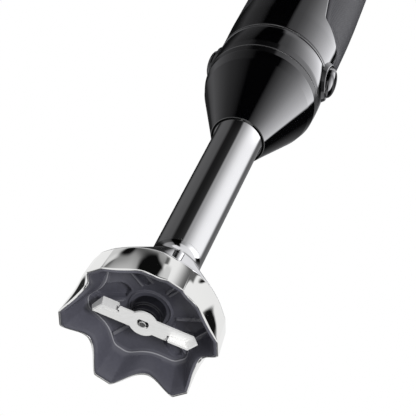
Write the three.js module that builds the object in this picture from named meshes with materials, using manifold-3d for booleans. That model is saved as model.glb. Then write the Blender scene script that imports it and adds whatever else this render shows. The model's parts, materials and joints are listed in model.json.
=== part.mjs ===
// Immersion blender: a motor unit with a detachable blending attachment.
// Millimetres, +Z up. The origin is on the axis, in the plane of the bell's six feet.
// +X runs through one release button, and -Y is the front, where the thumb's buttons are.
import * as THREE from "three";
import { mergeVertices } from "three/addons/utils/BufferGeometryUtils.js";
import Module from "manifold-3d";

const wasm = await Module();
wasm.setup();

// ---------------------------------------------------------------- driving dimensions

const GAP = 0.3; // clearance between pieces that touch
const SLIDE = 0.4; // clearance round a button in its window
const ROUND = 28; // facets of a round piece
const SMALL_ROUND = 20; // facets of a small round piece
const ARC_STEPS = 3; // facets of a rounded corner

// Bell: six narrow feet, with a wide hollow side and an arched rim between each two.
const FEET = 6;
const FOOT_RADIUS = 33.3;
const FOOT_WIDTH = 7.2;
const ARCH_HEIGHT = 6.2;
const ARCH_STEPS = 6;
const BELL_WALL = 0.8;
const BELL_DRAFT_ANGLE = 5.7; // inward lean of the bell's wall, in degrees
const SHOULDER_HEIGHT = 14.6;
const SHOULDER_FILLET = 26;
const FLANK_ANGLE = 36.9; // of the bell's roof from the vertical, in degrees
const NECK_FILLET = 18.6;
const SIDE_HOLLOW = 4.6; // how deep each wide side is scooped at the rim
const HOLLOW_FADE = 14; // height at which the scoop has gone
const FACET_FADE = 36; // height at which the bell is round

// Liner inside the bell, with the bearing hub.
const LINER_EDGE = 1.2;
const LINER_CLEARANCE = 0.4;
const LINER_WALL = 1.8;
const LINER_ROOF_RADIUS = 26.4;
const LINER_ROOF_HEIGHT = 12.9;
const LINER_ROOF_RISE = 2.8;
const HUB_BORE = 6;
const HUB_WALL = 2;
const HUB_TOP = 30;

// Seal under the hub, and the two plain bearings of the drive shaft.
const SEAL_BOTTOM = 8.4;
const SEAL_NOSE_RADIUS = 5.9;
const SEAL_NOSE_HEIGHT = 3;
const SEAL_STEP_RADIUS = 6.9;
const SEAL_PLUG_HEIGHT = 4.3;
const BUSH_LENGTH = 10;
const UPPER_BUSH_WALL = 1.6;

// Drive shaft and blade.
const SHAFT_RADIUS = 3;
const SHAFT_END_RADIUS = 2.25;
const SHAFT_END_FLATS = 3.2;
const SHAFT_GRIP = 11.7; // length of shaft inside its coupling
const BLADE_BOTTOM = 6;
const BLADE_THICKNESS = 1;
const BLADE_HUB_RADIUS = 6;
const BLADE_ARM_WIDTH = 7.4;
const BLADE_FOLD_INSET = 2.3;
const BLADE_WING_START = 11.6;
const BLADE_WING_END = 17.2; // where the edge flange meets the slanting fold of the tip
const BLADE_TIP_END = 20.4; // where that fold meets the arm's leading edge
const WING_UP = { rise: 4.3, tipRise: 2.4, splay: 0.9 };
const WING_DOWN = { rise: -3.1, tipRise: -3.1, splay: 2.4 };
const BLADE_NOTCH = 0.8;
const BLADE_ANGLE = 16; // where the blade has stopped, in degrees

// Tube.
const TUBE_RADIUS = 10.7;
const TUBE_WALL = 0.7;
const TUBE_TOP = 150.2;
const SLEEVE_WALL = 1.5;

// Coupling cone: the attachment's plastic head.
const CONE_SOCKET = 14.7; // how deep the tube sits in the cone
const CONE_LIP_RADIUS = 12.4;
const CONE_RISE = 29.5; // from the lip to the crease
const CONE_BAND = 9; // from the crease to the cone's top
const CONE_BAND_FLARE = 1.7; // how much wider the top is than the crease
const CONE_FLOOR = 3.5;
const YOKE_ROOM = 5.6; // between the spigot and the collar, for the buttons' yokes
const SPIGOT_LENGTH = 15;
const SPIGOT_WALL = 2;

// Couplings between the drive shaft and the motor shaft.
const DOGS = 3;
const DRIVEN_DROP = 3; // how far the driven coupling starts below the cone's top
const DRIVEN_HEIGHT = 14.5;
const DRIVEN_RADIUS = 5.2;
const DOG_REACH = 8;
const DOG_WIDTH = 3;
const CUP_START = 5.5; // height of the cup's rim above the driven coupling's foot
const CUP_WALL = 1.8;
const CUP_ROOF = 5;
const DOG_PLAY = 0.5;

// Collar with the bezels of the release buttons.
const COLLAR_HEIGHT = 18.4;
const COLLAR_WALL = 2.2;
const COLLAR_FLANGE = 3.2;
const COLLAR_FLANGE_BORE = 14;
const RELEASE_ABOVE_YOKE = 3.3; // from the upper yoke's middle to the buttons' centres
const RELEASE_HALF_WIDTH = 6;
const RELEASE_HALF_HEIGHT = 8.6;
const RELEASE_PROUD = 3.8;
const RELEASE_TRAVEL = 2;
const BEZEL_WALL = 2.2;
const BEZEL_PROUD = 1.8;
const YOKE_WALL = 2;
const YOKE_THICKNESS = 2.4;
const YOKE_STEM_WIDTH = 6;

// Handle shells and cap.
const HANDLE_WALL = 2.2;
const HEEL_RISE = 16;
const HEEL_ROUNDING = 120;
const HANDLE_FULL_RADIUS = 26.8;
const FULL_RISE = 47.3; // from the handle's foot to the top of its full part
const FULL_ROUNDING = 700;
const HANDLE_WAIST_RADIUS = 23.4;
const WAIST_RISE = 82; // from there to the waist
const WAIST_ROUNDING = 400;
const HANDLE_TOP_RADIUS = 25;
const SEAM_SIDE_RISE = 16.3; // the seam's low stretch, round the sides
const SEAM_FLARE_RISE = 7.5; // its slanting stretch, from the sides to the front
const SEAM_NECK_RISE = 19.5; // its bend into the straight stretch up the front
const SEAM_ANGLES = { foot: 84, side: 82, flare: 45, neck: 37, top: 35 }; // from the front, in degrees
const SEAM_NECK_ROUNDING = 30;
const CAP_HEIGHT = 10.7;
const CAP_ROUNDING = 6;
const DIAL_Y = -6;
const DIAL_RADIUS = 12.5;
const DIAL_RISE = 4;
const DIAL_SINK = 6.4; // depth of the dial's recess
const DIAL_RIDGES = 24;
const DIAL_RIDGE_DEPTH = 0.5;
const DIAL_STEM_RADIUS = 3;
const GLAND_Y = 15.5;
const GLAND_RADIUS = 5.5;
const GLAND_BORE = 3.7;
const GLAND_FLANGE = 1.3;
const GLAND_SKIRT = 2; // how far the gland reaches below the cap's wall
const GLAND_RISE = 3;

// Buttons on the front.
const POWER_DROP = 32; // from the shells' top to the upper button
const BUTTON_PITCH = 24;
const THUMB_HALF_WIDTH = 7;
const THUMB_HALF_HEIGHT = 9.5;
const THUMB_PROUD = 1.2;
const THUMB_DEPTH = 5;
const THUMB_TRAVEL = 2.5;
const THUMB_STEM_RADIUS = 2.5;

// Motor.
const MOTOR_SHAFT_RADIUS = 2.5;
const MOTOR_SHAFT_STUB = 6; // length of shaft above the upper bearing
const STATOR_ABOVE_FAN = 20;
const STATOR_HEIGHT = 40;
const STATOR_CLEARANCE = 1.1; // air between the stator's top and the shells
const STATOR_YOKE = 5.3;
const POLE_DEPTH = 3.4;
const POLE_HALF_ANGLE = 52;
const COIL_HALF_ANGLE = 72;
const COIL_OVERHANG = 5;
const AIR_GAP = 0.5;
const ARMATURE_SLOTS = 12;
const ARMATURE_SLOT_DEPTH = 4.5;
const WINDING_HEIGHT = 8.7;
const WINDING_INSET = 1.1;
const COMMUTATOR_RADIUS = 8;
const COMMUTATOR_HEIGHT = 10;
const COMMUTATOR_CLEARANCE = 0.8;
const FAN_RISE = 13.3; // height of the fan above the handle's foot
const FAN_HEIGHT = 12;
const FAN_CLEARANCE = 0.8; // between the fan and the screw posts
const FAN_BLADES = 9;
const FAN_DISC = 1.4;
const FAN_HUB_RADIUS = 5;
const BEARING_RADIUS = 6.5;
const BEARING_HEIGHT = 5;
const BEARING_SEAT_WALL = 1.5;
const BRACKET_PLATE = 5;
const PLATE_CLEARANCE = 0.6; // between a bearing plate and the shells
const PLATE_ABOVE_COMMUTATOR = 2.7;
const SCREW_INSET = 2.4; // from the upper plate's edge to the screws' centres
const SCREW_RADIUS = 1.4;
const SCREW_HEAD_RADIUS = 2.6;
const SCREW_HEAD_HEIGHT = 2;
const SCREW_BOSS_RADIUS = 2.3;
const BRUSH_WIDTH = 5;
const BRUSH_HEIGHT = 6.6;
const BRUSH_LENGTH = 6.5;
const HOLDER_INSET = 0.6; // from the upper plate's edge to the end of a brush holder
const BRUSH_DROP = 5.5; // from the upper plate to the brushes' centres
const HOLDER_WALL = 1;
const SPRING_TURNS = 3;
const SPRING_WIRE = 0.35;

// Electronics.
const BOARD_LENGTH = 60;
const BOARD_DROP = 12; // from the shells' top to the board
const BOARD_CLEARANCE = 0.6; // between the board's long edges and the shells' waist
const BOARD_FRONT_Y = 0.5;
const BOARD_THICKNESS = 1.6;
const SWITCH_WIDTH = 8;
const SWITCH_HEIGHT = 6;
const SWITCH_DEPTH = 9;
const POT_WIDTH = 12;
const POT_DROP = 10;
const POT_HEIGHT = 7;
const CAPACITOR_SIZE = [14, 7, 16];
const CAPACITOR_RISE = 20; // from the board's foot to the capacitor's centre

// ---------------------------------------------------------------- heights, stacked

const coneLip = TUBE_TOP - CONE_SOCKET;
const coneCrease = coneLip + CONE_RISE;
const coneTop = coneCrease + CONE_BAND;
const spigotTop = coneTop + SPIGOT_LENGTH;
const drivenBottom = coneTop - DRIVEN_DROP;
const shaftTop = drivenBottom + SHAFT_GRIP;
const cupBottom = drivenBottom + CUP_START;

const collarTop = coneTop + COLLAR_HEIGHT;
const upperYoke = collarTop - COLLAR_FLANGE - GAP - YOKE_THICKNESS / 2;
const yokeHeights = { right: upperYoke - YOKE_THICKNESS - SLIDE, left: upperYoke };
const releaseHeight = upperYoke + RELEASE_ABOVE_YOKE;

const handleBottom = collarTop + GAP;
const fanBottom = handleBottom + FAN_RISE;
const statorBottom = fanBottom + FAN_HEIGHT + STATOR_ABOVE_FAN;
const statorTop = statorBottom + STATOR_HEIGHT;
const armatureBottom = statorBottom + AIR_GAP;
const armatureTop = statorTop - AIR_GAP;
const lowerWindingBottom = armatureBottom - GAP - WINDING_HEIGHT;
const upperWindingTop = armatureTop + GAP + WINDING_HEIGHT;
const commutatorBottom = upperWindingTop + COMMUTATOR_CLEARANCE;
const upperPlateBottom = commutatorBottom + COMMUTATOR_HEIGHT + PLATE_ABOVE_COMMUTATOR;
const brushCentre = upperPlateBottom - BRUSH_DROP;
const upperBearingBottom = upperPlateBottom + 1;
const motorShaftTop = upperBearingBottom + BEARING_HEIGHT + MOTOR_SHAFT_STUB;

const boardBottom = motorShaftTop + GAP;
const boardTop = boardBottom + BOARD_LENGTH;
const handleTop = boardTop + BOARD_DROP;
const capTop = handleTop + GAP + CAP_HEIGHT;
const dialFloor = capTop - DIAL_SINK;
const potBottom = handleTop - POT_DROP;
const powerHeight = handleTop - POWER_DROP;
const turboHeight = powerHeight - BUTTON_PITCH;

// The collar is flush with the handle's full part, and the cone's top is flush with the collar.
const collarRadius = HANDLE_FULL_RADIUS;
const collarInner = collarRadius - COLLAR_WALL;
const coneTopRadius = collarRadius - 0.3;
const coneCreaseRadius = coneTopRadius - CONE_BAND_FLARE;
const spigotRadius = collarInner - YOKE_ROOM;
const bezelReach = collarRadius + BEZEL_PROUD;
const releaseReach = collarRadius + RELEASE_PROUD;

// ---------------------------------------------------------------- materials

const steel = new THREE.MeshStandardMaterial({ color: 0xd9d9d6, roughness: 0.12, metalness: 1 });
const bladeSteel = new THREE.MeshStandardMaterial({ color: 0xdddcd8, roughness: 0.35, metalness: 1 });
const plainSteel = new THREE.MeshStandardMaterial({ color: 0x9a9b9c, roughness: 0.4, metalness: 1 });
const laminate = new THREE.MeshStandardMaterial({ color: 0x5d6064, roughness: 0.5, metalness: 0.9 });
const glossBlack = new THREE.MeshStandardMaterial({ color: 0x08080b, roughness: 0.08, metalness: 0 });
const gripCharcoal = new THREE.MeshStandardMaterial({ color: 0x2a2a2e, roughness: 0.6, metalness: 0 });
const linerGrey = new THREE.MeshStandardMaterial({ color: 0x47474e, roughness: 0.45, metalness: 0 });
const sealBlack = new THREE.MeshStandardMaterial({ color: 0x121214, roughness: 0.5, metalness: 0 });
const innerPlastic = new THREE.MeshStandardMaterial({ color: 0xb9bab6, roughness: 0.5, metalness: 0 });
const darkPlastic = new THREE.MeshStandardMaterial({ color: 0x1b1b1e, roughness: 0.45, metalness: 0 });
const bronze = new THREE.MeshStandardMaterial({ color: 0x9c7040, roughness: 0.45, metalness: 1 });
const copper = new THREE.MeshStandardMaterial({ color: 0xb4632c, roughness: 0.35, metalness: 1 });
const carbon = new THREE.MeshStandardMaterial({ color: 0x1f1f20, roughness: 0.7, metalness: 0 });
const boardGreen = new THREE.MeshStandardMaterial({ color: 0x1d5133, roughness: 0.45, metalness: 0 });
const capacitorYellow = new THREE.MeshStandardMaterial({ color: 0xc9a227, roughness: 0.4, metalness: 0 });

// ---------------------------------------------------------------- shape helpers

const radians = (degrees) => (degrees * Math.PI) / 180;
const smooth = (t) => t * t * (3 - 2 * t);
const clamp01 = (t) => Math.min(1, Math.max(0, t));

// The points [across, up] with each corner that has a third value rounded to that radius.
function rounded(points, steps = ARC_STEPS) {
  const out = [];
  points.forEach(([x, y, radius], i) => {
    if (!radius) {
      out.push([x, y]);
      return;
    }
    const corner = new THREE.Vector2(x, y);
    const before = new THREE.Vector2(...points[i - 1]).sub(corner).normalize();
    const after = new THREE.Vector2(...points[i + 1]).sub(corner).normalize();
    const half = Math.acos(before.dot(after)) / 2;
    const reach = radius / Math.tan(half);
    const centre = before.clone().add(after).setLength(radius / Math.sin(half)).add(corner);
    const from = before.clone().multiplyScalar(reach).add(corner).sub(centre);
    const to = after.clone().multiplyScalar(reach).add(corner).sub(centre);
    const turn = Math.atan2(from.x * to.y - from.y * to.x, from.dot(to));
    for (let s = 0; s <= steps; s++) {
      const p = from.clone().rotateAround(new THREE.Vector2(), (turn * s) / steps).add(centre);
      out.push([p.x, p.y]);
    }
  });
  return out;
}

// The radius of an outline of [radius, height] points at a height.
function radiusOn(outline, height) {
  for (let i = 1; i < outline.length; i++) {
    const [r0, z0] = outline[i - 1];
    const [r1, z1] = outline[i];
    if (height <= z1) return r0 + (r1 - r0) * clamp01((height - z0) / (z1 - z0));
  }
  return outline[outline.length - 1][0];
}

// A body of revolution about Z. The outline of [radius, height] points runs up the outside, and either
// starts and ends on the axis or is closed here.
function turned(outline, segments = ROUND) {
  const onAxis = outline[0][0] === 0;
  const closed = onAxis ? outline : [...outline, outline[0]];
  const points = closed.map(([r, z]) => new THREE.Vector2(r, z));
  return new THREE.LatheGeometry(points, segments).rotateX(Math.PI / 2);
}

// A plain turned ring or disc.
function ring(inner, outer, bottom, top, segments = ROUND) {
  if (inner === 0) return turned([[0, bottom], [outer, bottom], [outer, top], [0, top]], segments);
  return turned([[inner, bottom], [outer, bottom], [outer, top], [inner, top]], segments);
}

function rod(radius, bottom, top, x = 0, y = 0, segments = SMALL_ROUND) {
  return ring(0, radius, bottom, top, segments).translate(x, y, 0);
}

function block(x0, x1, y0, y1, z0, z1) {
  const box = new THREE.BoxGeometry(x1 - x0, y1 - y0, z1 - z0);
  return box.translate((x0 + x1) / 2, (y0 + y1) / 2, (z0 + z1) / 2);
}

function meshFrom(vertices, faces) {
  const geometry = new THREE.BufferGeometry();
  geometry.setAttribute("position", new THREE.Float32BufferAttribute(vertices.flat(), 3));
  geometry.setIndex(faces.flat());
  return geometry;
}

// A closed ring about Z whose section changes with the angle.
function ringOf(sectionAt, angles) {
  const sections = angles.map((angle) =>
    sectionAt(angle).map(([r, z]) => [r * Math.cos(angle), r * Math.sin(angle), z]),
  );
  const n = sections[0].length;
  const faces = [];
  sections.forEach((_, i) => {
    const next = (i + 1) % sections.length;
    for (let j = 0; j < n; j++) {
      const k = (j + 1) % n;
      const [a, b, c, d] = [i * n + j, next * n + j, next * n + k, i * n + k];
      faces.push([a, b, d], [b, c, d]);
    }
  });
  return meshFrom(sections.flat(), faces);
}

// A curved plate between two faces given as points of u (turning about Z) and v (up), both 0 to 1.
function plateOf(outerAt, innerAt, columns, rows) {
  const wide = columns.length;
  const size = wide * rows.length;
  const outer = rows.flatMap((v) => columns.map((u) => outerAt(u, v)));
  const inner = rows.flatMap((v) => columns.map((u) => innerAt(u, v)));
  const faces = [];
  const quad = (a, b, c, d) => faces.push([a, b, d], [b, c, d]);
  for (let j = 0; j + 1 < rows.length; j++) {
    for (let i = 0; i + 1 < wide; i++) {
      const a = j * wide + i;
      quad(a, a + 1, a + 1 + wide, a + wide);
      quad(size + a + 1, size + a, size + a + wide, size + a + 1 + wide);
    }
    const left = j * wide;
    const right = left + wide - 1;
    quad(size + left, left, left + wide, size + left + wide);
    quad(right, size + right, size + right + wide, right + wide);
  }
  const top = (rows.length - 1) * wide;
  for (let i = 0; i + 1 < wide; i++) {
    quad(size + i, size + i + 1, i + 1, i);
    quad(top + i, top + i + 1, size + top + i + 1, size + top + i);
  }
  return meshFrom([...outer, ...inner], faces);
}

function solidFrom(geometry) {
  const bare = geometry.clone();
  bare.deleteAttribute("normal");
  bare.deleteAttribute("uv");
  const merged = mergeVertices(bare, 1e-4);
  const vertProperties = new Float32Array(merged.attributes.position.array);
  const triVerts = new Uint32Array(merged.index.array);
  return new wasm.Manifold(new wasm.Mesh({ numProp: 3, vertProperties, triVerts }));
}

function geometryFrom(solid) {
  const mesh = solid.getMesh();
  const geometry = new THREE.BufferGeometry();
  geometry.setAttribute("position", new THREE.Float32BufferAttribute(mesh.vertProperties, 3));
  geometry.setIndex(Array.from(mesh.triVerts));
  return geometry;
}

function cut(geometry, ...tools) {
  return geometryFrom(tools.reduce((body, tool) => body.subtract(solidFrom(tool)), solidFrom(geometry)));
}

function join(geometry, ...others) {
  return geometryFrom(others.reduce((body, other) => body.add(solidFrom(other)), solidFrom(geometry)));
}

function common(geometry, other) {
  return geometryFrom(solidFrom(geometry).intersect(solidFrom(other)));
}

// A right prism over an outline of [x, y] points, with optional holes.
function prism(outline, bottom, top, holes = []) {
  const shape = new THREE.Shape(outline.map(([x, y]) => new THREE.Vector2(x, y)));
  shape.holes = holes.map((hole) => new THREE.Path(hole.map(([x, y]) => new THREE.Vector2(x, y))));
  const depth = top - bottom;
  return new THREE.ExtrudeGeometry(shape, { depth, bevelEnabled: false }).translate(0, 0, bottom);
}

function arcPoints(radius, fromDegrees, toDegrees, steps, x = 0, y = 0) {
  return Array.from({ length: steps + 1 }, (_, i) => {
    const angle = radians(fromDegrees + ((toDegrees - fromDegrees) * i) / steps);
    return [x + radius * Math.cos(angle), y + radius * Math.sin(angle)];
  });
}

// An oval bar along X, centred on y = 0 and the given height.
function ovalBar(halfWidth, halfHeight, x0, x1, height) {
  const bar = new THREE.CylinderGeometry(1, 1, x1 - x0, 28).rotateZ(Math.PI / 2);
  return bar.scale(1, halfWidth, halfHeight).translate((x0 + x1) / 2, 0, height);
}

// A domed oval cap of unit radius, standing on z = 0 with its crown at the given height.
function domedCap(height) {
  const edge = 0.55 * height;
  return turned([[0, 0], [1, 0], [1, edge], [0.93, 0.75 * height], [0.7, 0.92 * height], [0, height]], 28);
}

// ---------------------------------------------------------------- the bell's form

const bellWallRadius = (z) => FOOT_RADIUS - Math.tan(radians(BELL_DRAFT_ANGLE)) * z;
const roofRun = bellWallRadius(SHOULDER_HEIGHT) - TUBE_RADIUS;
const neckMeet = SHOULDER_HEIGHT + roofRun / Math.tan(radians(FLANK_ANGLE));
const neckReach = NECK_FILLET * Math.tan(radians(FLANK_ANGLE) / 2);
const NECK_TOP = neckMeet + neckReach;
const bellOutline = rounded([
  [FOOT_RADIUS, 0],
  [bellWallRadius(SHOULDER_HEIGHT), SHOULDER_HEIGHT, SHOULDER_FILLET],
  [TUBE_RADIUS, neckMeet, NECK_FILLET],
  [TUBE_RADIUS, NECK_TOP + GAP],
]);
const cornerAngle = Math.atan(FOOT_WIDTH / 2 / FOOT_RADIUS);
const footPitch = (2 * Math.PI) / FEET;

// The angle from the nearest foot's middle, 0 to half a pitch.
function fromFoot(angle) {
  const turns = angle / footPitch;
  return Math.abs(turns - Math.round(turns)) * footPitch;
}

// How far along a wide side an angle is: 0 at the foot's corner, 1 in the middle of the side.
const alongSide = (angle) => clamp01((fromFoot(angle) - cornerAngle) / (footPitch / 2 - cornerAngle));

// The share of the foot's radius that is left at an angle, at a height.
function sideFactor(angle, height) {
  const a = fromFoot(angle);
  const flatFoot = 1 / Math.cos(a);
  const chord = Math.cos(footPitch / 2 - cornerAngle) / Math.cos(cornerAngle) / Math.cos(footPitch / 2 - a);
  const facet = a <= cornerAngle ? flatFoot : chord;
  const facetShare = 1 - smooth(clamp01(height / FACET_FADE));
  const hollowShare = 1 - smooth(clamp01(height / HOLLOW_FADE));
  const hollow = (SIDE_HOLLOW / FOOT_RADIUS) * Math.sin((alongSide(angle) * Math.PI) / 2) ** 1.5;
  return 1 + (facet - 1) * facetShare - hollow * hollowShare;
}

const rimHeight = (angle) => ARCH_HEIGHT * Math.sin((alongSide(angle) * Math.PI) / 2) ** 1.3;

// A height on the straight wall, squeezed so that the wall starts at the arched rim.
function aboveRim(angle, height) {
  return height >= SHOULDER_HEIGHT ? height : rimHeight(angle) * (1 - height / SHOULDER_HEIGHT) + height;
}

const bellRadius = (angle, height) => radiusOn(bellOutline, height) * sideFactor(angle, height);

const bellAngles = Array.from({ length: FEET }, (_, foot) => {
  const step = (footPitch - 2 * cornerAngle) / ARCH_STEPS;
  const side = Array.from({ length: ARCH_STEPS }, (_, i) => cornerAngle + step * i);
  return [-cornerAngle, 0, ...side].map((a) => foot * footPitch + a);
}).flat();

function bellShell() {
  const wall = [0, 0.4, 0.75].map((t) => SHOULDER_HEIGHT * t);
  const dome = [0, 0.19, 0.36, 0.62, 0.8, 1].map((t) => SHOULDER_HEIGHT + (NECK_TOP - SHOULDER_HEIGHT) * t);
  const heights = [...wall, ...dome];
  return ringOf((angle) => {
    const levels = heights.map((height) => aboveRim(angle, height));
    const outside = levels.map((z) => [bellRadius(angle, z), z]);
    const inside = levels.map((z) => [bellRadius(angle, z) - BELL_WALL, z]).reverse();
    return [...outside, ...inside];
  }, bellAngles);
}

function bellLiner() {
  const roofBottom = LINER_ROOF_HEIGHT + LINER_ROOF_RISE;
  const skirtSteps = [0, 0.5, 1];
  return ringOf((angle) => {
    const rim = rimHeight(angle);
    const rimOuter = bellRadius(angle, rim) - BELL_WALL - LINER_CLEARANCE;
    const roofInner = LINER_ROOF_RADIUS * sideFactor(angle, rim);
    const levels = skirtSteps.map((t) => rim + (LINER_ROOF_HEIGHT - rim) * t);
    const innerAt = (t) => rimOuter - LINER_EDGE + (roofInner - rimOuter + LINER_EDGE) * t;
    const wallAt = (t) => LINER_EDGE + (LINER_WALL - LINER_EDGE) * t;
    const inside = skirtSteps.map((t, i) => [innerAt(t), levels[i]]).reverse();
    const outside = skirtSteps.map((t, i) => [innerAt(t) + wallAt(t), levels[i]]);
    return [
      ...outside,
      [roofInner + LINER_WALL, LINER_ROOF_HEIGHT + LINER_WALL],
      [HUB_BORE + HUB_WALL + 1, roofBottom + LINER_WALL + 1],
      [HUB_BORE + HUB_WALL, roofBottom + LINER_WALL + 3],
      [HUB_BORE + HUB_WALL, HUB_TOP],
      [HUB_BORE, HUB_TOP],
      [HUB_BORE, roofBottom],
      ...inside,
    ];
  }, bellAngles);
}

// ---------------------------------------------------------------- shaft, seal and bearings

const seatTop = LINER_ROOF_HEIGHT + LINER_ROOF_RISE - GAP;
const sleeveRadius = TUBE_RADIUS - TUBE_WALL - GAP;
const sleeveBore = sleeveRadius - SLEEVE_WALL;
const upperBushBottom = TUBE_TOP - BUSH_LENGTH;
const bushBore = SHAFT_RADIUS + GAP / 2;

function shaftTube() {
  return ring(TUBE_RADIUS - TUBE_WALL, TUBE_RADIUS, NECK_TOP + GAP, TUBE_TOP);
}

function tubeSleeve() {
  return ring(sleeveBore, sleeveRadius, HUB_TOP + GAP, TUBE_TOP);
}

function shaftSeal() {
  const plugRadius = HUB_BORE - GAP;
  const stepBottom = SEAL_BOTTOM + SEAL_NOSE_HEIGHT;
  return turned([
    [bushBore + GAP, SEAL_BOTTOM],
    [SEAL_NOSE_RADIUS - 0.4, SEAL_BOTTOM],
    [SEAL_NOSE_RADIUS, SEAL_BOTTOM + 0.4],
    [SEAL_NOSE_RADIUS, stepBottom],
    [SEAL_STEP_RADIUS - 0.4, stepBottom],
    [SEAL_STEP_RADIUS, stepBottom + 0.4],
    [SEAL_STEP_RADIUS, seatTop],
    [plugRadius, seatTop],
    [plugRadius, seatTop + SEAL_PLUG_HEIGHT],
    [bushBore + GAP, seatTop + SEAL_PLUG_HEIGHT],
  ]);
}

function lowerBush() {
  const bottom = seatTop + SEAL_PLUG_HEIGHT + GAP;
  return ring(bushBore, HUB_BORE - GAP, bottom, bottom + BUSH_LENGTH, SMALL_ROUND);
}

function upperBush() {
  return ring(bushBore, bushBore + UPPER_BUSH_WALL, upperBushBottom, TUBE_TOP, SMALL_ROUND);
}

function bushCarrier() {
  const bore = bushBore + UPPER_BUSH_WALL + GAP;
  return ring(bore, sleeveBore - GAP, upperBushBottom, TUBE_TOP, SMALL_ROUND);
}

function driveShaft() {
  const shoulder = BLADE_BOTTOM + BLADE_THICKNESS + GAP;
  const body = rod(SHAFT_RADIUS, shoulder, shaftTop);
  const end = rod(SHAFT_END_RADIUS, BLADE_BOTTOM - 0.6, shoulder + 1);
  const half = SHAFT_END_FLATS / 2;
  const flats = block(-SHAFT_END_RADIUS, SHAFT_END_RADIUS, -half, half, 0, shaftTop);
  return join(body, common(end, flats));
}

function shaftClip() {
  return ring(SHAFT_RADIUS + GAP, SHAFT_RADIUS + 2.2, TUBE_TOP + GAP, TUBE_TOP + GAP + 1, SMALL_ROUND);
}

// ---------------------------------------------------------------- blade

// One wing of the blade: the edge flange and the splayed tip flange, both bent the same way off the plate.
function bladeWing({ rise, tipRise, splay }) {
  const front = -BLADE_ARM_WIDTH / 2;
  const fold = -front - BLADE_FOLD_INSET;
  const back = fold + BLADE_THICKNESS;
  const base = BLADE_BOTTOM + BLADE_THICKNESS / 2;
  const [low, high] = [Math.min(base, base + rise), Math.max(base, base + rise)];
  const edge = block(BLADE_WING_START, BLADE_WING_END + BLADE_THICKNESS, fold, back, low, high);
  const corners = [
    [BLADE_WING_END, back, base],
    [BLADE_TIP_END, front, base],
    [BLADE_TIP_END + splay, front, base + tipRise],
    [BLADE_WING_END + splay, back, base + rise],
  ];
  const inner = rise > 0 ? corners : corners.reverse();
  const outer = inner.map(([x, y, z]) => [x + BLADE_THICKNESS, y, z]);
  const quads = [[0, 1, 2, 3], [6, 5, 4, 7], [4, 5, 1, 0], [5, 6, 2, 1], [6, 7, 3, 2], [7, 4, 0, 3]];
  const tip = meshFrom([...inner, ...outer], quads.flatMap(([p, q, r, t]) => [[p, q, r], [p, r, t]]));
  return join(edge, tip);
}

function blade() {
  const half = BLADE_ARM_WIDTH / 2;
  const fold = half - BLADE_FOLD_INSET;
  const top = BLADE_BOTTOM + BLADE_THICKNESS;
  const arm = [
    [0, -half],
    [BLADE_TIP_END + BLADE_THICKNESS / 2, -half],
    [BLADE_WING_END + BLADE_THICKNESS / 2, fold + BLADE_THICKNESS],
    [BLADE_WING_START, fold + BLADE_THICKNESS],
    [BLADE_WING_START - BLADE_NOTCH, half],
  ];
  const plate = prism([...arm, ...arm.map(([x, y]) => [-x, -y])], BLADE_BOTTOM, top);
  const hub = rod(BLADE_HUB_RADIUS, BLADE_BOTTOM, top);
  const notch = rod(BLADE_NOTCH, 0, HUB_TOP, BLADE_WING_START - BLADE_NOTCH / 2, fold + BLADE_THICKNESS, 12);
  const hole = rod(SHAFT_END_RADIUS + GAP, 0, HUB_TOP);
  const flat = SHAFT_END_FLATS / 2 + GAP;
  const doubleD = common(hole, block(-HUB_BORE, HUB_BORE, -flat, flat, 0, HUB_TOP));
  const wings = [bladeWing(WING_DOWN), bladeWing(WING_UP).rotateZ(Math.PI)];
  return cut(join(plate, hub, ...wings), doubleD, notch, notch.clone().rotateZ(Math.PI));
}

// ---------------------------------------------------------------- coupling cone and couplings


function couplingCone() {
  const socket = TUBE_RADIUS + GAP;
  const floor = TUBE_TOP + GAP;
  const floorTop = floor + CONE_FLOOR;
  const bore = spigotRadius - SPIGOT_WALL;
  const boreBottom = coneCrease + 1;
  return turned([
    [socket, coneLip],
    [CONE_LIP_RADIUS - 0.5, coneLip],
    [CONE_LIP_RADIUS, coneLip + 0.6],
    [coneCreaseRadius, coneCrease],
    [coneCreaseRadius + 1.4, coneCrease + 4.5],
    [coneTopRadius, coneTop],
    [spigotRadius, coneTop],
    [spigotRadius, spigotTop - 1],
    [spigotRadius - 1, spigotTop],
    [bore, spigotTop],
    [bore, boreBottom],
    [socket, floorTop],
    [sleeveRadius - 1, floorTop],
    [sleeveRadius - 1, floor],
    [socket, floor],
  ], 32);
}

// Radial dogs round the axis: blocks from one radius to another.
function dogs(from, to, width, bottom, top, turn) {
  return Array.from({ length: DOGS }, (_, i) =>
    block(from, to, -width / 2, width / 2, bottom, top).rotateZ((i / DOGS) * 2 * Math.PI + turn),
  );
}

function drivenCoupling() {
  const top = drivenBottom + DRIVEN_HEIGHT;
  const core = rod(DRIVEN_RADIUS, drivenBottom, top);
  const fins = dogs(DRIVEN_RADIUS - 1, DOG_REACH, DOG_WIDTH, cupBottom, top - 1, 0);
  const bore = rod(SHAFT_RADIUS + GAP, drivenBottom - 1, shaftTop + GAP);
  return cut(join(core, ...fins), bore);
}

const cupRadius = DOG_REACH + DOG_PLAY + CUP_WALL;
const cupRoofBottom = drivenBottom + DRIVEN_HEIGHT + 1;

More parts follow.
